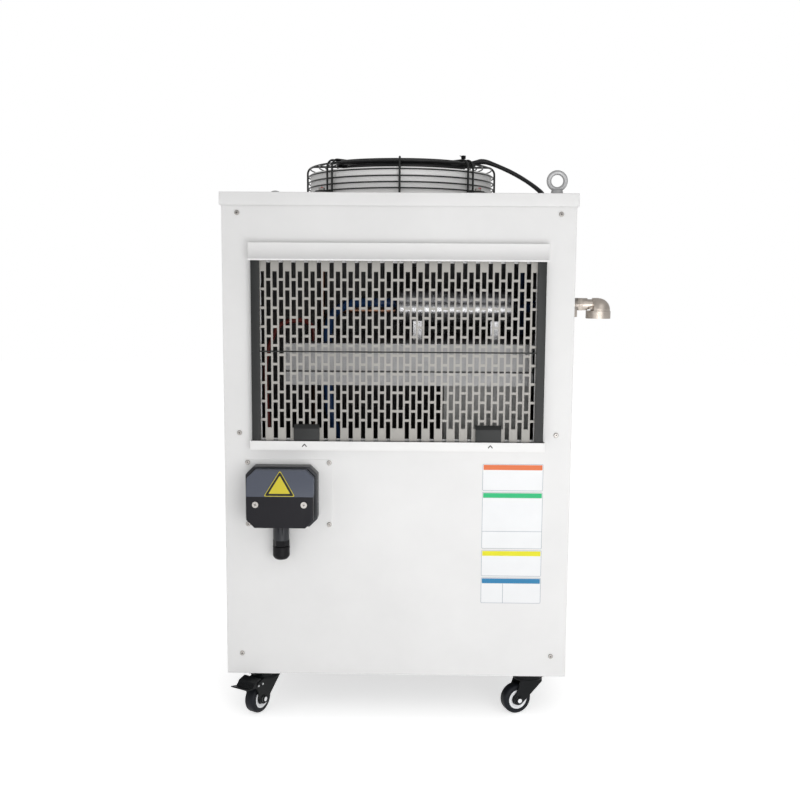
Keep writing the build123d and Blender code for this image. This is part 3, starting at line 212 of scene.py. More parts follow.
def coverPaintedLightAbove(name, lower, upper, split, roughness=0.36, grain=1600.0, bump=0.2, specular=0.18,
                 blend=0.0004):
    # moulded cover: above the split it leans back, and its colour there is painted lighter as painted light
    # from above
    material, tree, shader, coords = startMaterial(name)
    parts = tree.nodes.new("ShaderNodeSeparateXYZ")
    tree.links.new(coords.outputs["Object"], parts.inputs[0])
    height = tree.nodes.new("ShaderNodeMapRange")
    height.inputs["From Min"].default_value = split - blend
    height.inputs["From Max"].default_value = split + blend
    tree.links.new(parts.outputs["Z"], height.inputs["Value"])
    tone = addRamp(tree, height.outputs[0], [(0.0, lower), (1.0, upper)])
    tree.links.new(tone, shader.inputs["Base Color"])
    spark = addNoise(tree, coords, grain, 2.0, 0.5)
    tree.links.new(addRange(tree, spark, roughness - 0.08, roughness + 0.08), shader.inputs["Roughness"])
    shader.inputs["Specular IOR Level"].default_value = specular
    addBump(tree, shader, spark, bump, textureDepth["spark"])
    return material


def plainMetal(name, colour, roughness=0.3, stretch=(1, 1, 30), grain=60.0, spread=0.1, bump=0.08):
    # bare metal: drawn grain along one way, slight staining
    material, tree, shader, coords = startMaterial(name)
    drawn = addNoise(tree, coords, grain, 6.0, 0.6, stretch)
    tone = mottled(tree, coords, colour, (30.0, 4.0, 0.6), (0.3, 0.7), (1 - spread, 1 + spread))
    tree.links.new(tone, shader.inputs["Base Color"])
    shader.inputs["Metallic"].default_value = 1.0
    tree.links.new(addRange(tree, drawn, roughness - 0.08, roughness + 0.1), shader.inputs["Roughness"])
    addBump(tree, shader, drawn, bump, textureDepth["peel"])
    return material


def softRubber(name, colour, roughness=0.55, grain=500.0, bump=0.3, specular=0.3):
    # rubber or soft plastic with a little dust on it
    material, tree, shader, coords = startMaterial(name)
    tone = mottled(tree, coords, colour, (70.0, 5.0, 0.7), (0.35, 0.8), (1.0, 1.7))
    tree.links.new(tone, shader.inputs["Base Color"])
    rough = addNoise(tree, coords, grain, 3.0, 0.6)
    tree.links.new(addRange(tree, rough, roughness - 0.1, roughness + 0.1), shader.inputs["Roughness"])
    shader.inputs["Specular IOR Level"].default_value = specular
    addBump(tree, shader, rough, bump, textureDepth["peel"])
    return material


finishes = {
    # the cabinet paint, with painted shade on its faces inside the cabinet
    "cabinetWhite": paintedSheet("cabinetWhite", (0.812, 0.809, 0.805), inner=(0.07, 0.07, 0.07)),
    # the hood has the cabinet's paint; this lighter copy of it is painted light on the hood
    "hoodLitWhite": paintedSheet("hoodLitWhite", (0.87, 0.865, 0.86)),
    "filterGrey": mouldedPlastic("filterGrey", (0.017, 0.018, 0.018), 0.5),
    "plateGrey": paintedSheet("plateGrey", (0.40, 0.385, 0.36), 0.5, 700.0, 0.1, 0.1),
    "boxSlate": mouldedPlastic("boxSlate", (0.018, 0.019, 0.024), 0.36, 1600.0, 0.2, 0.06),
    # the cover's lighter upper colour is painted light on its sloping half
    "coverSlate": coverPaintedLightAbove("coverSlate", (0.011, 0.0105, 0.014), (0.098, 0.108, 0.138), 0.384),
    "blackPlastic": mouldedPlastic("blackPlastic", (0.007, 0.007, 0.008), 0.33, specular=0.12),
    "cableBlack": softRubber("cableBlack", (0.008, 0.008, 0.009), 0.35, 900.0, 0.15),
    "guardBlack": paintedSheet("guardBlack", (0.012, 0.013, 0.013), 0.3, 900.0, 0.1, 0.1),
    "motorBlack": paintedSheet("motorBlack", (0.02, 0.02, 0.02), 0.4, 900.0, 0.2, 0.1),
    "shroudWhite": paintedSheet("shroudWhite", (0.95, 0.945, 0.935), 0.4),
    "screwSteel": plainMetal("screwSteel", (0.42, 0.40, 0.38), 0.36),
    "eyeSteel": plainMetal("eyeSteel", (0.53, 0.53, 0.535), 0.58, (1, 1, 1), 40.0, 0.05, 0.02),
    "fittingSteel": plainMetal("fittingSteel", (0.57, 0.51, 0.455), 0.36, (1, 1, 4), 120.0, 0.2, 0.3),
    "shelfSteel": plainMetal("shelfSteel", (0.32, 0.32, 0.32), 0.45),
    "shellSteel": plainMetal("shellSteel", (0.5, 0.5, 0.51), 0.25, (1, 30, 30)),
    "controlGrey": paintedSheet("controlGrey", (0.30, 0.30, 0.29), 0.45),
    "tankPlastic": mouldedPlastic("tankPlastic", (0.16, 0.17, 0.17), 0.45),
    "compressorBlack": paintedSheet("compressorBlack", (0.012, 0.012, 0.012), 0.25),
    "pumpBlue": paintedSheet("pumpBlue", (0.06, 0.1, 0.2), 0.35),
    "finAluminium": plainMetal("finAluminium", (0.6, 0.6, 0.61), 0.35, (60, 1, 1), 20.0),
    "hoseBlue": softRubber("hoseBlue", (0.012, 0.04, 0.12), 0.35),
    "copperBare": plainMetal("copperBare", (0.45, 0.24, 0.16), 0.3),
    "wireRed": mouldedPlastic("wireRed", (0.14, 0.022, 0.018), 0.35),
    "casterBlack": paintedSheet("casterBlack", (0.009, 0.010, 0.011), 0.3, 700.0, 0.1, 0.1, 0.12),
    "rimWhite": mouldedPlastic("rimWhite", (0.94, 0.95, 0.97), 0.3, 900.0, 0.1, 0.02),
    "tyreGrey": softRubber("tyreGrey", (0.009, 0.010, 0.013), 0.45, specular=0.15),
    "headZinc": plainMetal("headZinc", (0.78, 0.79, 0.8), 0.3, (1, 1, 1), 90.0, 0.06),
    "dabRed": mouldedPlastic("dabRed", (0.55, 0.02, 0.015), 0.35, 600.0, 0.05, 0.05),
    "signYellow": mouldedPlastic("signYellow", (0.66, 0.56, 0.045), 0.35, 600.0, 0.02, 0.03),
    "signDark": mouldedPlastic("signDark", (0.02, 0.02, 0.02), 0.4, 600.0, 0.02, 0.03),
    "labelWhite": mouldedPlastic("labelWhite", (0.86, 0.87, 0.88), 0.35, 600.0, 0.02, 0.02),
    "labelLine": mouldedPlastic("labelLine", (0.33, 0.37, 0.42), 0.4, 600.0, 0.02, 0.02),
    "labelOrange": mouldedPlastic("labelOrange", (0.75, 0.16, 0.036), 0.35, 600.0, 0.02, 0.03),
    "labelGreen": mouldedPlastic("labelGreen", (0.0, 0.48, 0.17), 0.35, 600.0, 0.02, 0.03),
    "labelYellow": mouldedPlastic("labelYellow", (0.79, 0.75, 0.004), 0.35, 600.0, 0.02, 0.03),
    "labelBlue": mouldedPlastic("labelBlue", (0.02, 0.21, 0.42), 0.35, 600.0, 0.02, 0.03),
    "displayGlass": mouldedPlastic("displayGlass", (0.01, 0.01, 0.012), 0.12, 900.0, 0.0, 0.0),
}
nodeFinishes = {
    "cabinetWhite": ["base_pan", "corner_posts", "front_panel", "back_panel", "left_panel", "right_panel",
                     "lid", "junction_plate"],
    "hoodLitWhite": ["filter_channels"],
    "filterGrey": ["filter_frame"],
    "plateGrey": ["filter_plate"],
    "boxSlate": ["junction_base"],
    "coverSlate": ["junction_cover"],
    "blackPlastic": ["cable_gland", "gland_nut", "cable_grommets", "cable_ties", "filler_neck", "filler_cap",
                     "controller"],
    "cableBlack": ["fan_cable", "capacitor_cable"],
    "guardBlack": ["fan_guard"],
    "motorBlack": ["fan_motor", "fan_rotor"],
    "shroudWhite": ["fan_shroud"],
    "screwSteel": ["panel_screws", "cover_screws", "fan_bolts"],
    "eyeSteel": ["eye_bolts"],
    "fittingSteel": ["outlet_nipple", "outlet_elbow", "inlet_nipple", "inlet_elbow"],
    "shelfSteel": ["shelf"],
    "shellSteel": ["evaporator"],
    "controlGrey": ["control_box"],
    "tankPlastic": ["water_tank"],
    "compressorBlack": ["compressor"],
    "pumpBlue": ["pump"],
    "finAluminium": ["condenser_coil"],
    "hoseBlue": ["coolant_hoses"],
    "copperBare": ["copper_pipes"],
    "wireRed": ["wiring_loom"],
    "casterBlack": ["caster_plates"] + [name for name in nodes if name.endswith(("_fork", "_pedal"))],
    "rimWhite": [name for name in nodes if name.endswith("_rim")],
    "tyreGrey": [name for name in nodes if name.endswith("_tyre")],
    "displayGlass": ["controller_window"],
}
for finish, names in nodeFinishes.items():
    for name in names:
        for materialSlot in nodes[name].material_slots:
            materialSlot.material = finishes[finish]
print("finishes given to the nodes")


# Piece helpers
def linkMesh(name, mesh, finish, body="cabinet"):
    piece = bpy.data.objects.new(name, mesh)
    bpy.context.scene.collection.objects.link(piece)
    mesh.materials.append(finishes[finish])
    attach(piece, body)
    return piece


def meshFrom(bm, name, smooth=True, angle=35.0):
    bmesh.ops.recalc_face_normals(bm, faces=bm.faces)
    mesh = bpy.data.meshes.new(name)
    bm.to_mesh(mesh)
    bm.free()
    if smooth:
        mesh.shade_smooth()
        mesh.set_sharp_from_angle(angle=math.radians(angle))
    return mesh


def joinPart(bm, part):
    # moves a part's mesh into the piece's
    mesh = bpy.data.meshes.new("part")
    part.to_mesh(mesh)
    part.free()
    bm.from_mesh(mesh)
    bpy.data.meshes.remove(mesh)


def vertsIn(geom):
    return [item for item in geom if isinstance(item, bmesh.types.BMVert)]


def edgesOf(verts):
    return list(dict.fromkeys(edge for vert in verts for edge in vert.link_edges))


def roundOff(bm, geom, width, segments, affect="EDGES", clamp=False):
    bmesh.ops.bevel(bm, geom=geom, offset=width * mm, segments=segments, affect=affect, profile=0.5,
                    clamp_overlap=clamp, material=-1)


def thicken(bm, shift):
    grown = bmesh.ops.extrude_face_region(bm, geom=bm.faces[:])["geom"]
    bmesh.ops.translate(bm, verts=vertsIn(grown), vec=shift)


def addBlock(bm, matrix):
    return bmesh.ops.create_cube(bm, size=1.0, matrix=matrix)["verts"]


# The two cables tied to the fan guard; the third number is the height above the lid
fanCables = {
    "diameter": 7.0,
    "fan_cable": [
        (-30.84, -25.82, 54.6), (-53.07, -48.84, 54.6), (-76, -68, 55.2), (-93, -84, 55.6),
        (-107.5, -101, 56.7), (-99.5, -121.5, 58.9), (-69, -142.5, 59.1), (-24, -155, 59.1),
        (24, -155.5, 59.1), (66, -142.5, 59.1), (96, -122, 59), (112, -105, 58.8), (126, -96, 61.7),
        (141, -92.5, 67), (164, -94, 57.8), (190, -96, 46.5), (213, -96, 33.5), (231, -96, 21),
        (244.5, -96, 9), (243, -96, -9),
    ],
    "capacitor_cable": [
        (-24.73, -31.72, 54.6), (-45.57, -53.3, 54.6), (-65, -77, 52.5), (-80, -96, 51), (-89, -114, 50.8),
        (-78, -134, 50.8), (-42, -149.5, 50.8), (6, -156, 50.8), (52, -148, 50.8), (86, -128, 51),
        (108, -101, 53.8), (125, -87.5, 60), (142, -81.5, 66), (164, -79, 60), (190, -80, 48.5),
        (213, -80, 36), (233, -80, 23), (250, -80, 9), (249, -80, -9),
    ],
}


def addCable(name):
    points = [at(x, y, lidTop + up) for x, y, up in fanCables[name]]
    curve = bpy.data.curves.new(name + "_line", "CURVE")
    curve.dimensions = "3D"
    curve.bevel_depth = fanCables["diameter"] / 2 * mm
    curve.bevel_resolution = 6
    curve.resolution_u = 10
    curve.use_fill_caps = True
    spline = curve.splines.new("NURBS")
    spline.points.add(len(points) - 1)
    for target, point in zip(spline.points, points):
        target.co = (*point, 1.0)
    spline.order_u = 3
    spline.use_endpoint_u = True
    piece = bpy.data.objects.new(name + "_line", curve)
    bpy.context.scene.collection.objects.link(piece)
    curve.materials.append(finishes["cableBlack"])
    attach(piece, "cabinet")
    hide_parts(name)


addCable("fan_cable")
addCable("capacitor_cable")
print("cables made")


# Points that are nearer than this are merged, in metres
mergeWithin = {"turned": 1e-6, "node": 2e-6}


# Turned pieces: a closed outline of (radius, height) pairs in millimetres, spun about Z
def spinOutline(bm, outline, rounded=(), steps=64, segments=4):
    corners = [bm.verts.new((radius * mm, 0, height * mm)) for radius, height in outline]
    for first, second in zip(corners, corners[1:] + corners[:1]):
        bm.edges.new((first, second))
    for index, width in rounded:
        roundOff(bm, [corners[index]], width, segments, "VERTICES")
    bmesh.ops.spin(bm, geom=bm.verts[:] + bm.edges[:], cent=(0, 0, 0), axis=(0, 0, 1), angle=math.tau,
                   steps=steps, use_merge=True)
    bmesh.ops.remove_doubles(bm, verts=bm.verts, dist=mergeWithin["turned"])


def turnTo(axis):
    return Vector((0, 0, 1)).rotation_difference(Vector(axis).normalized()).to_matrix().to_4x4()


def turnedPiece(name, outline, place, axis, finish, body="cabinet", rounded=(), steps=64,
                replaced=None):
    bm = bmesh.new()
    spinOutline(bm, outline, rounded, steps)
    bmesh.ops.transform(bm, matrix=Matrix.Translation(place) @ turnTo(axis), verts=bm.verts)
    piece = linkMesh(name, meshFrom(bm, name), finish, body)
    if replaced:
        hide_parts(replaced)


# Fan guard: bent wires with rings welded to their inner side, a disc in the middle and four feet
guardSetup = {
    "radius": 168.0, "top": 64.4, "wire": 1.8, "ring": 1.25, "weld": 0.4, "bend": 13.0, "inner": 38.0,
    "start": 1.0, "sides": 8, "pairGap": 12.3, "wallRings": (13.5, 23.3, 33.3, 44.3),
    "topRings": (146.5, 135.5, 124.5, 113.5, 102.5, 91.5, 80.5, 69.5, 58.5),
    "disc": 46.0, "discThick": 1.5, "foot": 185.0, "footWidth": 16.0, "footThick": 2.5, "footUp": 9.0,
    "edge": 0.6,
}


def addHoop(bm, radius, height):
    setup = guardSetup
    place = Matrix.Translation(at(radius, 0, height)) @ turned(90, "X")
    hoop = bmesh.ops.create_circle(bm, segments=setup["sides"], radius=setup["ring"] * mm, matrix=place)
    bmesh.ops.spin(bm, geom=hoop["verts"] + edgesOf(hoop["verts"]), cent=at(0, 0, height), axis=(0, 0, 1),
                   angle=math.tau, steps=96, use_merge=True)


def extrudeLoop(bm, edges, shift):
    # pulls a loop of edges along and gives back the loop at its far end
    grown = bmesh.ops.extrude_edge_only(bm, edges=edges)["geom"]
    verts = vertsIn(grown)
    bmesh.ops.translate(bm, verts=verts, vec=Vector(shift) * mm)
    return [item for item in grown if isinstance(item, bmesh.types.BMEdge)
            and all(vert in verts for vert in item.verts)]


def addBentWire(bm):
    setup = guardSetup
    out = setup["radius"]
    bend = setup["bend"]
    start = lidTop + setup["start"]
    bendUp = lidTop + setup["top"] - bend
    foot = bmesh.ops.create_circle(bm, cap_ends=True, segments=setup["sides"], radius=setup["wire"] * mm,
                                   matrix=Matrix.Translation(at(out, 0, start)))
    edges = extrudeLoop(bm, edgesOf(foot["verts"]), (0, 0, bendUp - start))
    verts = list(dict.fromkeys(vert for edge in edges for vert in edge.verts))
    bent = bmesh.ops.spin(bm, geom=verts + edges, cent=at(out - bend, 0, bendUp), axis=(0, -1, 0),
                          angle=math.pi / 2, steps=10)["geom_last"]
    edges = [item for item in bent if isinstance(item, bmesh.types.BMEdge)]
    edges = extrudeLoop(bm, edges, (-(out - bend - setup["inner"]), 0, 0))
    bmesh.ops.holes_fill(bm, edges=edges, sides=setup["sides"])


def addGuardWires(bm):
    setup = guardSetup
    addBentWire(bm)
    wire = bm.verts[:] + bm.edges[:] + bm.faces[:]
    half = math.degrees(setup["pairGap"] / 2 / setup["radius"])
    turns = [90 * quarter + shift for quarter in range(4) for shift in (0, 45 - half, 45 + half)]
    for turn in turns[1:]:
        copy = bmesh.ops.duplicate(bm, geom=wire)["geom"]
        bmesh.ops.rotate(bm, cent=at(0, 0, 0), matrix=Matrix.Rotation(math.radians(turn), 3, "Z"),
                         verts=vertsIn(copy))


def addGuardRings(bm):
    setup = guardSetup
    inward = setup["wire"] + setup["ring"] - setup["weld"]
    for height in setup["wallRings"]:
        addHoop(bm, setup["radius"] - inward, lidTop + height)
    shoulder = (setup["bend"] - inward) * math.sqrt(0.5)
    addHoop(bm, setup["radius"] - setup["bend"] + shoulder, lidTop + setup["top"] - setup["bend"] + shoulder)
    for radius in setup["topRings"]:
        addHoop(bm, radius, lidTop + setup["top"] - inward)


def addGuardFeet(bm):
    setup = guardSetup
    length = setup["foot"] - setup["radius"] + setup["footWidth"] / 2
    reach = (setup["foot"] + setup["radius"] + setup["footWidth"] / 2) / 2
    up = lidTop + setup["footUp"] + setup["footThick"] / 2
    for quarter in range(4):
        turn = turned(45 + 90 * quarter, "Z")
        foot = addBlock(bm, Matrix.Translation(middle) @ turn @ Matrix.Translation((reach * mm, 0, up * mm))
                        @ sized(length, setup["footWidth"], setup["footThick"]))
        roundOff(bm, edgesOf(foot), setup["edge"], 2)


def addGuard():
    setup = guardSetup
    bm = bmesh.new()
    addGuardWires(bm)
    addGuardRings(bm)
    discUp = lidTop + setup["top"] + setup["wire"] - setup["weld"] + setup["discThick"] / 2
    bmesh.ops.create_cone(bm, cap_ends=True, segments=64, radius1=setup["disc"] * mm,
                          radius2=(setup["disc"] - setup["edge"]) * mm, depth=setup["discThick"] * mm,
                          matrix=Matrix.Translation(at(0, 0, discUp)))
    addGuardFeet(bm)
    piece = linkMesh("fanGuard", meshFrom(bm, "fanGuard", angle=50), "guardBlack")
    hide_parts("fan_guard")


addGuard()
print("guard made")


# Fan casing: a ring with a foot and a rolled upper edge that stands just inside the guard
casingSetup = {
    "outline": [(160.2, 0.1), (165.2, 0.1), (165.2, 1.5), (161.7, 1.5), (161.7, 43.5), (162.8, 45.0),
                (162.8, 48.0), (160.2, 48.0)],
    "rounded": [(2, 0.5), (4, 1.2), (5, 0.6), (6, 1.0), (7, 0.8)],
}
turnedPiece("fanCasing", casingSetup["outline"], at(0, 0, lidTop), (0, 0, 1), "shroudWhite",
            rounded=casingSetup["rounded"], steps=128, replaced="fan_shroud")
print("casing made")


# Cable ties: a band round both cables and the guard's outer top ring, with its lock and a cut tail
tieSetup = {
    "wall": 1.0, "width": 4.2, "corner": 3.2, "lock": (6.0, 6.0, 5.6), "lockEdge": 0.7,
    "tail": (0.9, 3.6, 8.0), "tailTilt": -68.0,
    "ties": [
        {"turn": 237.0, "inside": (144.0, 160.4), "up": (46.6, 64.2), "lockOut": 145.0, "lockUp": 52.0},
        {"turn": 314.5, "inside": (144.0, 158.6), "up": (48.6, 66.2), "lockOut": 152.5, "lockUp": 69.6},
    ],
}


def addTieBand(part, tie):
    width = tieSetup["width"] * mm
    wall = tieSetup["wall"]
    near, far = tie["inside"]
    low, high = tie["up"]
    outline = [(near - wall, low - wall), (far + wall, low - wall), (far + wall, high + wall),
               (near - wall, high + wall)]
    corners = [part.verts.new(Vector((out * mm, -width / 2, (lidTop + up) * mm))) for out, up in outline]
    part.faces.new(corners)
    roundOff(part, corners, tieSetup["corner"], 5, "VERTICES")
    rim = bmesh.ops.inset_region(part, faces=part.faces[:], thickness=wall * mm, use_even_offset=True)
    hole = [face for face in part.faces if face not in rim["faces"]]
    bmesh.ops.delete(part, geom=hole, context="FACES")
    thicken(part, (0, width, 0))


def addTieLock(part, tie):
    place = Matrix.Translation(Vector((tie["lockOut"], 0, lidTop + tie["lockUp"])) * mm)
    roundOff(part, edgesOf(addBlock(part, place @ sized(*tieSetup["lock"]))), tieSetup["lockEdge"], 2)
    tail = Matrix.Translation((0, 0, tieSetup["tail"][2] / 2 * mm)) @ sized(*tieSetup["tail"])
    addBlock(part, place @ turned(tieSetup["tailTilt"], "Y") @ tail)


def addTies():
    bm = bmesh.new()
    for tie in tieSetup["ties"]:
        part = bmesh.new()
        addTieBand(part, tie)
        addTieLock(part, tie)
        bmesh.ops.recalc_face_normals(part, faces=part.faces[:])
        place = Matrix.Translation(middle) @ turned(tie["turn"], "Z")
        bmesh.ops.transform(part, matrix=place, verts=part.verts)
        joinPart(bm, part)
    piece = linkMesh("cableTies", meshFrom(bm, "cableTies", angle=40), "blackPlastic")
    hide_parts("cable_ties")


addTies()
print("ties made")


# Casters: tyres with rounded shoulders, moulded rims and dark caps over the rims' webs
wheelSetup = {
    "tyre": [(16.5, -9.5), (25.0, -9.5), (25.0, 9.5), (16.5, 9.5)],
    "tyreRound": [(1, 4.5), (2, 4.5)],
    "rim": [(4.1, -11.2), (8.0, -11.2), (8.6, -7.4), (10.2, -7.6), (13.4, -9.3), (16.5, -9.7), (16.5, 9.7),
            (13.4, 9.3), (10.2, 7.6), (8.6, 7.4), (8.0, 11.2), (4.1, 11.2)],
    "rimRound": [(1, 0.6), (5, 0.7), (6, 0.7), (10, 0.6)],
    "cap": [(7.0, -11.5), (8.4, -11.5), (10.2, -8.2), (10.2, 8.2), (8.4, 11.5), (7.0, 11.5)],
    "trail": 22.0, "up": 25.0,
}
# across and back from the middle, and the way the caster trails, in degrees
casters = {
    "front_left": (-223.0, -198.0, -120.0),
    "front_right": (223.0, -198.0, -158.3),
    "rear_left": (-223.0, 198.0, -131.0),
    "rear_right": (223.0, 198.0, -101.0),
}


def casterPlace(corner, out, up):
    # a point on the caster's middle plane, out along the way it trails
    across, back, turn = casters[corner]
    angle = math.radians(turn)
    return at(across, back, up) + Vector((math.cos(angle), math.sin(angle), 0)) * out * mm


def casterAxle(corner):
    angle = math.radians(casters[corner][2])
    return Vector((math.sin(angle), -math.cos(angle), 0))


for corner in casters:
    hub = casterPlace(corner, wheelSetup["trail"], wheelSetup["up"])
    axle = casterAxle(corner)
    turnedPiece(corner + "Tyre", wheelSetup["tyre"], hub, axle, "tyreGrey", corner + "_wheel",
                wheelSetup["tyreRound"], 72, corner + "_tyre")
    turnedPiece(corner + "Rim", wheelSetup["rim"], hub, axle, "rimWhite", corner + "_wheel",
                wheelSetup["rimRound"], replaced=corner + "_rim")
    turnedPiece(corner + "Cap", wheelSetup["cap"], hub, axle, "casterBlack",
                corner + "_wheel")
print("wheels made")


# Lifting eyes: a round ring on a turned collar
eyeSetup = {
    "ring": 13.3, "wire": 3.8, "up": 22.5, "places": [(254.0, -195.0), (-254.0, 195.0)],
    "collar": [(0, -14.0), (4.0, -14.0), (4.0, 0), (9.6, 0), (9.6, 5.5), (8.6, 8.0), (6.0, 9.5), (0, 9.5)],
    "collarRound": [(4, 0.8), (5, 0.6)],
}


def addEyes():
    bm = bmesh.new()
    for across, back in eyeSetup["places"]:
        centre = at(across, back, lidTop + eyeSetup["up"])
        side = centre + Vector((eyeSetup["ring"] * mm, 0, 0))
        ring = bmesh.ops.create_circle(bm, segments=24, radius=eyeSetup["wire"] * mm,
                                       matrix=Matrix.Translation(side))
        bmesh.ops.spin(bm, geom=ring["verts"] + edgesOf(ring["verts"]), cent=centre, axis=(0, 1, 0),
                       angle=math.tau, steps=64, use_merge=True)
        collar = bmesh.new()
        spinOutline(collar, eyeSetup["collar"], eyeSetup["collarRound"], 48)
        bmesh.ops.transform(collar, matrix=Matrix.Translation(at(across, back, lidTop)), verts=collar.verts)
        joinPart(bm, collar)
    piece = linkMesh("liftingEyes", meshFrom(bm, "liftingEyes", angle=40), "eyeSteel")
    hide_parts("eye_bolts")


addEyes()
print("lifting eyes made")


# Water ports: a hexagon and dark rings on each nipple, measured from the right panel; the dark rings are
# painted shade in the threads' grooves
portSetup = {
    "side": 282.0, "places": [(-190.0, 690.0), (145.0, 681.0)],
    "hexagon": {"radius": 11.6, "start": 11.0, "end": 17.5, "edge": 0.5},
    "rings": {"radius": 10.15, "width": 1.0, "starts": (5.6, 7.6, 9.6)},
}


def addCollar(bm, segments, radius, depth, out, back, up):
    place = Matrix.Translation(at(portSetup["side"] + out, back, up)) @ turned(90, "Y")
    bmesh.ops.create_cone(bm, cap_ends=True, segments=segments, radius1=radius * mm, radius2=radius * mm,
                          depth=depth * mm, matrix=place)


def addPortRings():
    hexagons = bmesh.new()
    threadShade = bmesh.new()
    hexagon = portSetup["hexagon"]
    rings = portSetup["rings"]
    hexagonOut = (hexagon["start"] + hexagon["end"]) / 2
    for back, up in portSetup["places"]:
        addCollar(hexagons, 6, hexagon["radius"], hexagon["end"] - hexagon["start"], hexagonOut, back, up)
        for out in rings["starts"]:
            addCollar(threadShade, 48, rings["radius"], rings["width"], out, back, up)
    roundOff(hexagons, hexagons.edges[:], hexagon["edge"], 2)
    linkMesh("portHexagons", meshFrom(hexagons, "portHexagons", angle=50), "fittingSteel")
    # the dark rings are painted shade in the threads' grooves
    linkMesh("portThreadShade", meshFrom(threadShade, "portThreadShade"), "signDark")


addPortRings()
print("port rings made")


# Labels: plain colour fields on the front panel, each a white body with a coloured band
labelSetup = {
    "left": 139.2, "right": 237.8, "front": -229.9, "line": 0.7,
    "edge": {"thick": 0.20, "corner": 2.0}, "body": {"thick": 0.30, "corner": 1.5},
    "band": {"thick": 0.40, "corner": 0.8}, "rule": {"thick": 0.40, "corner": 0.0, "half": 0.35},
}
labels = {
    "orangeLabel": {"low": 386.6, "high": 430.9, "header": 9.8, "finish": "labelOrange"},
    "greenLabel": {"low": 289.7, "high": 384.2, "header": 9.4, "finish": "labelGreen", "across": 318.8},
    "yellowLabel": {"low": 243.4, "high": 287.2, "header": 9.6, "finish": "labelYellow"},
    "blueLabel": {"low": 197.4, "high": 240.7, "header": 9.6, "finish": "labelBlue", "upright": 175.3},
}


def addField(name, left, low, right, high, kind, finish):
    # a plate with rounded corners that faces forward
    thick, corner = (labelSetup[kind][key] for key in ("thick", "corner"))
    bm = bmesh.new()
    corners = [bm.verts.new(at(x, labelSetup["front"], z))
               for x, z in ((left, low), (right, low), (right, high), (left, high))]
    bm.faces.new(corners)
    if corner:
        roundOff(bm, corners, corner, 5, "VERTICES")
    thicken(bm, (0, -thick * mm, 0))
    linkMesh(name, meshFrom(bm, name, False), finish)


def addLabel(name):
    setup = labels[name]
    left, right, line = (labelSetup[key] for key in ("left", "right", "line"))
    low, high, header = (setup[key] for key in ("low", "high", "header"))
    half = labelSetup["rule"]["half"]
    rule = name + "Rule"
    addField(name + "Edge", left, low, right, high, "edge", "labelLine")
    addField(name + "Body", left + line, low + line, right - line, high - line, "body", "labelWhite")
    addField(name + "Band", left + 2 * line, high - header, right - 2 * line, high - 2 * line, "band",
             setup["finish"])
    if "across" in setup:
        across = setup["across"]
        addField(rule, left + line, across - half, right - line, across + half, "rule", "labelLine")
    if "upright" in setup:
        upright = setup["upright"]
        addField(rule, upright - half, low + line, upright + half, high - header, "rule", "labelLine")


for labelName in labels:
    addLabel(labelName)
print("labels made")


# Sign on the cover's sloping upper half: a plain yellow triangle with a dark border. Each layer has
# how far it lies inside the outline, how far it stands out, its corners' radius and its finish
signSetup = {
    "across": -186.4, "low": 384.6, "height": 41.5, "half": 25.0, "foot": (-280.5, 384.0),
    "head": (-269.5, 425.0), "sink": 0.3, "tipShare": 1.92, "sideShare": 1.78,
    "layers": [(0.0, 0.25, 3.2, "signYellow"), (0.9, 0.35, 2.9, "signDark"), (4.4, 0.45, 1.3, "signYellow")],
}


def addSign():
    setup = signSetup
    (footY, footZ), (headY, headZ) = setup["foot"], setup["head"]
    slope = Vector((0, headY - footY, headZ - footZ)).normalized()
    outward = Vector((0, -slope.z, slope.y))
    for number, (inset, lift, corner, finish) in enumerate(setup["layers"]):
        bm = bmesh.new()
        tip = setup["height"] - inset * setup["tipShare"]
        half = setup["half"] - inset * setup["sideShare"]
        corners = []
        for x, up in ((-half, inset), (half, inset), (0, tip)):
            along = setup["low"] - footZ + up
            foot = at(setup["across"] + x, footY, footZ)
            corners.append(bm.verts.new(foot + slope * along * mm - outward * setup["sink"] * mm))
        bm.faces.new(corners)
        roundOff(bm, corners, corner, 4, "VERTICES")
        thicken(bm, outward * (lift + setup["sink"]) * mm)
        linkMesh("signLayer%d" % (number + 1), meshFrom(bm, "signLayer", False), finish)


addSign()
print("sign made")


# Folded and moulded pieces get soft edges: the node's own mesh with its sharp outer edges rounded.
# The angles are in degrees and the lengths in millimetres
softSetup = {
    "flat": 0.6, "sharp": 25.0, "shortest": 5.0,
    "pieces": {
        "lid": (1.1, "cabinetWhite", "cabinet_paint", "cabinet"),
        "junction_plate": (0.6, "cabinetWhite", "cabinet_paint", "cabinet"),
        "junction_cover": (2.2, "coverSlate", "box_plastic", "cabinet"),
        "junction_base": (1.0, "boxSlate", "box_plastic", "cabinet"),
        "filter_channels": (0.5, "hoodLitWhite", "cabinet_paint", "cabinet"),
        "filter_frame": (0.5, "filterGrey", "filter_plastic", "filter"),
    },
}


def nodeMesh(name):
    bm = bmesh.new()
    bm.from_mesh(nodes[name].data)
    bmesh.ops.remove_doubles(bm, verts=bm.verts, dist=mergeWithin["node"])
    return bm


def addSoftEdges(name):
    width, finish, slotName, body = softSetup["pieces"][name]
    bm = nodeMesh(name)
    flat = math.radians(softSetup["flat"])
    bmesh.ops.dissolve_limit(bm, angle_limit=flat, verts=bm.verts, edges=bm.edges)
    outer = [edge for edge in bm.edges if len(edge.link_faces) == 2 and edge.is_convex]
    sharp = [edge for edge in outer if edge.calc_face_angle() > math.radians(softSetup["sharp"])
             and edge.calc_length() > softSetup["shortest"] * mm]
    roundOff(bm, sharp, width, 3, clamp=True)
    piece = linkMesh(name + "Soft", meshFrom(bm, name + "Soft", angle=30), finish, body)
    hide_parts(name)


for softName in softSetup["pieces"]:
    addSoftEdges(softName)
print("soft edges made")


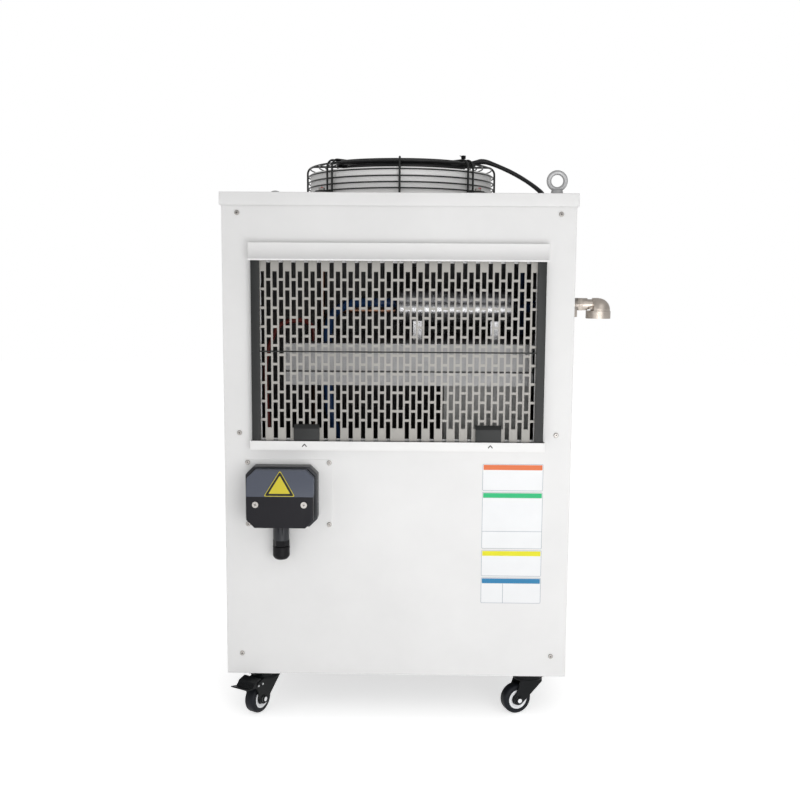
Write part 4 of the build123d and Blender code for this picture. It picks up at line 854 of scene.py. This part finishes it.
# Cross recesses in the screws' heads, drawn as dark crosses that are painted shade in the recesses, turned
# by an angle in radians
recessSetup = {
    "lengths": {"panel_screws": 3.6, "cover_screws": 4.6}, "depth": 1.0, "width": 0.75, "sink": 0.48,
    "turn": 0.4,
}


def grownIsland(start, left):
    # all the vertices joined to the first one, taken out of those left
    island = {start}
    grow = [start]
    while grow:
        for edge in grow.pop().link_edges:
            for vert in edge.verts:
                if vert in left:
                    left.discard(vert)
                    island.add(vert)
                    grow.append(vert)
    return island


def headFaces(name):
    # the front of each screw head, in millimetres from the middle of the cabinet
    bm = nodeMesh(name)
    left = set(bm.verts)
    faces = []
    while left:
        island = grownIsland(left.pop(), left)
        low = [min(vert.co[axis] for vert in island) for axis in range(3)]
        high = [max(vert.co[axis] for vert in island) for axis in range(3)]
        place = (Vector(((low[0] + high[0]) / 2, low[1], (low[2] + high[2]) / 2)) - middle) / mm
        faces.append((round(place.x, 3), round(place.y, 3), round(place.z, 3)))
    bm.free()
    return sorted(faces)


def addRecessShade():
    bm = bmesh.new()
    for name, length in recessSetup["lengths"].items():
        slit = sized(length, recessSetup["depth"], recessSetup["width"])
        for x, y, z in headFaces(name):
            place = Matrix.Translation(at(x, y + recessSetup["sink"], z))
            for turn in (0, math.pi / 2):
                addBlock(bm, place @ Matrix.Rotation(turn + recessSetup["turn"], 4, "Y") @ slit)
    # dark crosses: painted shade in the screws' recesses
    linkMesh("screwRecessShade", meshFrom(bm, "screwRecessShade", False), "blackPlastic")


addRecessShade()
print("screw recesses made")


# Bright bolt and rivet heads on the casters; the rivets are on the two that have a brake
headSetup = {
    "axle": (6.05, 3.05), "rivet": (2.35, 0.85), "cheek": 14.0, "rivets": [(37.0, 52.5), (26.0, 52.5)],
    "sink": 1.0, "shoulder": 0.55, "crown": 0.7, "round": 0.3,
}


def addHead(bm, place, axis, size):
    radius, height = size
    low = -headSetup["sink"]
    soft = headSetup["round"] * height
    part = bmesh.new()
    outline = [(0, low), (radius, low), (radius, headSetup["shoulder"] * height),
               (headSetup["crown"] * radius, height), (0, height)]
    spinOutline(part, outline, [(2, soft), (3, soft)], 32, 3)
    bmesh.ops.transform(part, matrix=Matrix.Translation(place) @ turnTo(axis), verts=part.verts)
    joinPart(bm, part)


def addHeads(corner):
    bm = bmesh.new()
    hub = casterPlace(corner, wheelSetup["trail"], wheelSetup["up"])
    for way in (-1, 1):
        axle = casterAxle(corner) * way
        face = axle * headSetup["cheek"] * mm
        addHead(bm, hub + face, axle, headSetup["axle"])
        if corner.endswith("left"):
            for out, up in headSetup["rivets"]:
                addHead(bm, casterPlace(corner, out, up) + face, axle, headSetup["rivet"])
    name = corner + "Heads"
    linkMesh(name, meshFrom(bm, name, angle=50), "headZinc", corner + "_fork")


for corner in casters:
    addHeads(corner)
print("caster heads made")


# Paint dabs on the two front fan bolts and the marks on the filter sill
dabSetup = {"bolts": [(-131.8, -131.8), (131.8, -131.8)], "shift": (1.5, -2.0), "size": (3.0, 2.4, 0.9)}
markSetup = {"across": (-150.0, 150.0), "front": -243.45, "up": 461.2, "half": 1.75, "tilt": 50.0,
             "size": (5.6, 0.3, 1.5)}


def addDabs():
    bm = bmesh.new()
    top = max(vert.co.z for vert in nodes["fan_bolts"].data.vertices) / mm
    shiftX, shiftY = dabSetup["shift"]
    for x, y in dabSetup["bolts"]:
        dab = bmesh.ops.create_uvsphere(bm, u_segments=16, v_segments=10, radius=1.0)
        place = Matrix.Translation(at(x + shiftX, y + shiftY, top))
        bmesh.ops.transform(bm, matrix=place @ sized(*dabSetup["size"]), verts=dab["verts"])
    linkMesh("boltPaint", meshFrom(bm, "boltPaint"), "dabRed")


def addSillMarks():
    bm = bmesh.new()
    for x in markSetup["across"]:
        for way in (-1, 1):
            place = at(x + way * markSetup["half"], markSetup["front"], markSetup["up"])
            addBlock(bm, Matrix.Translation(place) @ turned(way * markSetup["tilt"], "Y")
                     @ sized(*markSetup["size"]))
    linkMesh("sillMarks", meshFrom(bm, "sillMarks", False), "blackPlastic")


addDabs()
addSillMarks()
print("paint dabs and sill marks made")


# Floor and light
floorSetup = {"size": 14.0, "colour": (0.9, 0.9, 0.9), "glow": 0.6}
lightSetup = {
    "world": 0.50, "aim": (0, 0, 0.5),
    "lamps": {
        "key": {"place": (1.4, -2.5, 2.5), "size": 2.2, "power": 11.0},
        "fill": {"place": (-2.2, -2.2, 1.4), "size": 2.6, "power": 7.5},
        "low": {"place": (0.35, -1.43, 0.09), "size": 1.2, "power": 13.4},
    },
}


def addFloor():
    bm = bmesh.new()
    bmesh.ops.create_grid(bm, x_segments=1, y_segments=1, size=floorSetup["size"] / 2)
    mesh = bpy.data.meshes.new("studioFloor")
    bm.to_mesh(mesh)
    bm.free()
    floor = bpy.data.objects.new("studioFloor", mesh)
    bpy.context.scene.collection.objects.link(floor)
    material = bpy.data.materials.new("studioFloor")
    material.use_nodes = True
    tree = material.node_tree
    tree.nodes.clear()
    out = tree.nodes.new("ShaderNodeOutputMaterial")
    surface = tree.nodes.new("ShaderNodeBsdfDiffuse")
    surface.inputs[0].default_value = (*floorSetup["colour"], 1.0)
    glow = tree.nodes.new("ShaderNodeEmission")
    glow.inputs[0].default_value = (1, 1, 1, 1)
    path = tree.nodes.new("ShaderNodeLightPath")
    seen = addMath(tree, "MAXIMUM", path.outputs["Is Camera Ray"], path.outputs["Is Glossy Ray"])
    tree.links.new(addMath(tree, "MULTIPLY", seen, floorSetup["glow"]), glow.inputs[1])
    both = tree.nodes.new("ShaderNodeAddShader")
    tree.links.new(surface.outputs[0], both.inputs[0])
    tree.links.new(glow.outputs[0], both.inputs[1])
    tree.links.new(both.outputs[0], out.inputs[0])
    mesh.materials.append(material)


def addWorld():
    # plain white where the camera looks at it, and a soft light on everything
    world = bpy.data.worlds.new("studioWorld")
    bpy.context.scene.world = world
    world.use_nodes = True
    tree = world.node_tree
    tree.nodes.clear()
    out = tree.nodes.new("ShaderNodeOutputWorld")
    light = tree.nodes.new("ShaderNodeBackground")
    light.inputs[0].default_value = (1, 1, 1, 1)
    light.inputs[1].default_value = lightSetup["world"]
    seen = tree.nodes.new("ShaderNodeBackground")
    seen.inputs[0].default_value = (1, 1, 1, 1)
    path = tree.nodes.new("ShaderNodeLightPath")
    direct = addMath(tree, "MAXIMUM", path.outputs["Is Camera Ray"], path.outputs["Is Transmission Ray"])
    mix = tree.nodes.new("ShaderNodeMixShader")
    tree.links.new(direct, mix.inputs[0])
    tree.links.new(light.outputs[0], mix.inputs[1])
    tree.links.new(seen.outputs[0], mix.inputs[2])
    tree.links.new(mix.outputs[0], out.inputs[0])


def addLamp(name):
    setup = lightSetup["lamps"][name]
    data = bpy.data.lights.new(name + "Lamp", "AREA")
    data.size = setup["size"]
    data.energy = setup["power"]
    lamp = bpy.data.objects.new(name + "Lamp", data)
    bpy.context.scene.collection.objects.link(lamp)
    lamp.location = setup["place"]
    aim = Vector(lightSetup["aim"]) - lamp.location
    lamp.rotation_euler = aim.to_track_quat("-Z", "Y").to_euler()


addFloor()
addWorld()
for lampName in lightSetup["lamps"]:
    addLamp(lampName)
bpy.context.scene.view_settings.view_transform = "Standard"
print("floor and light set")
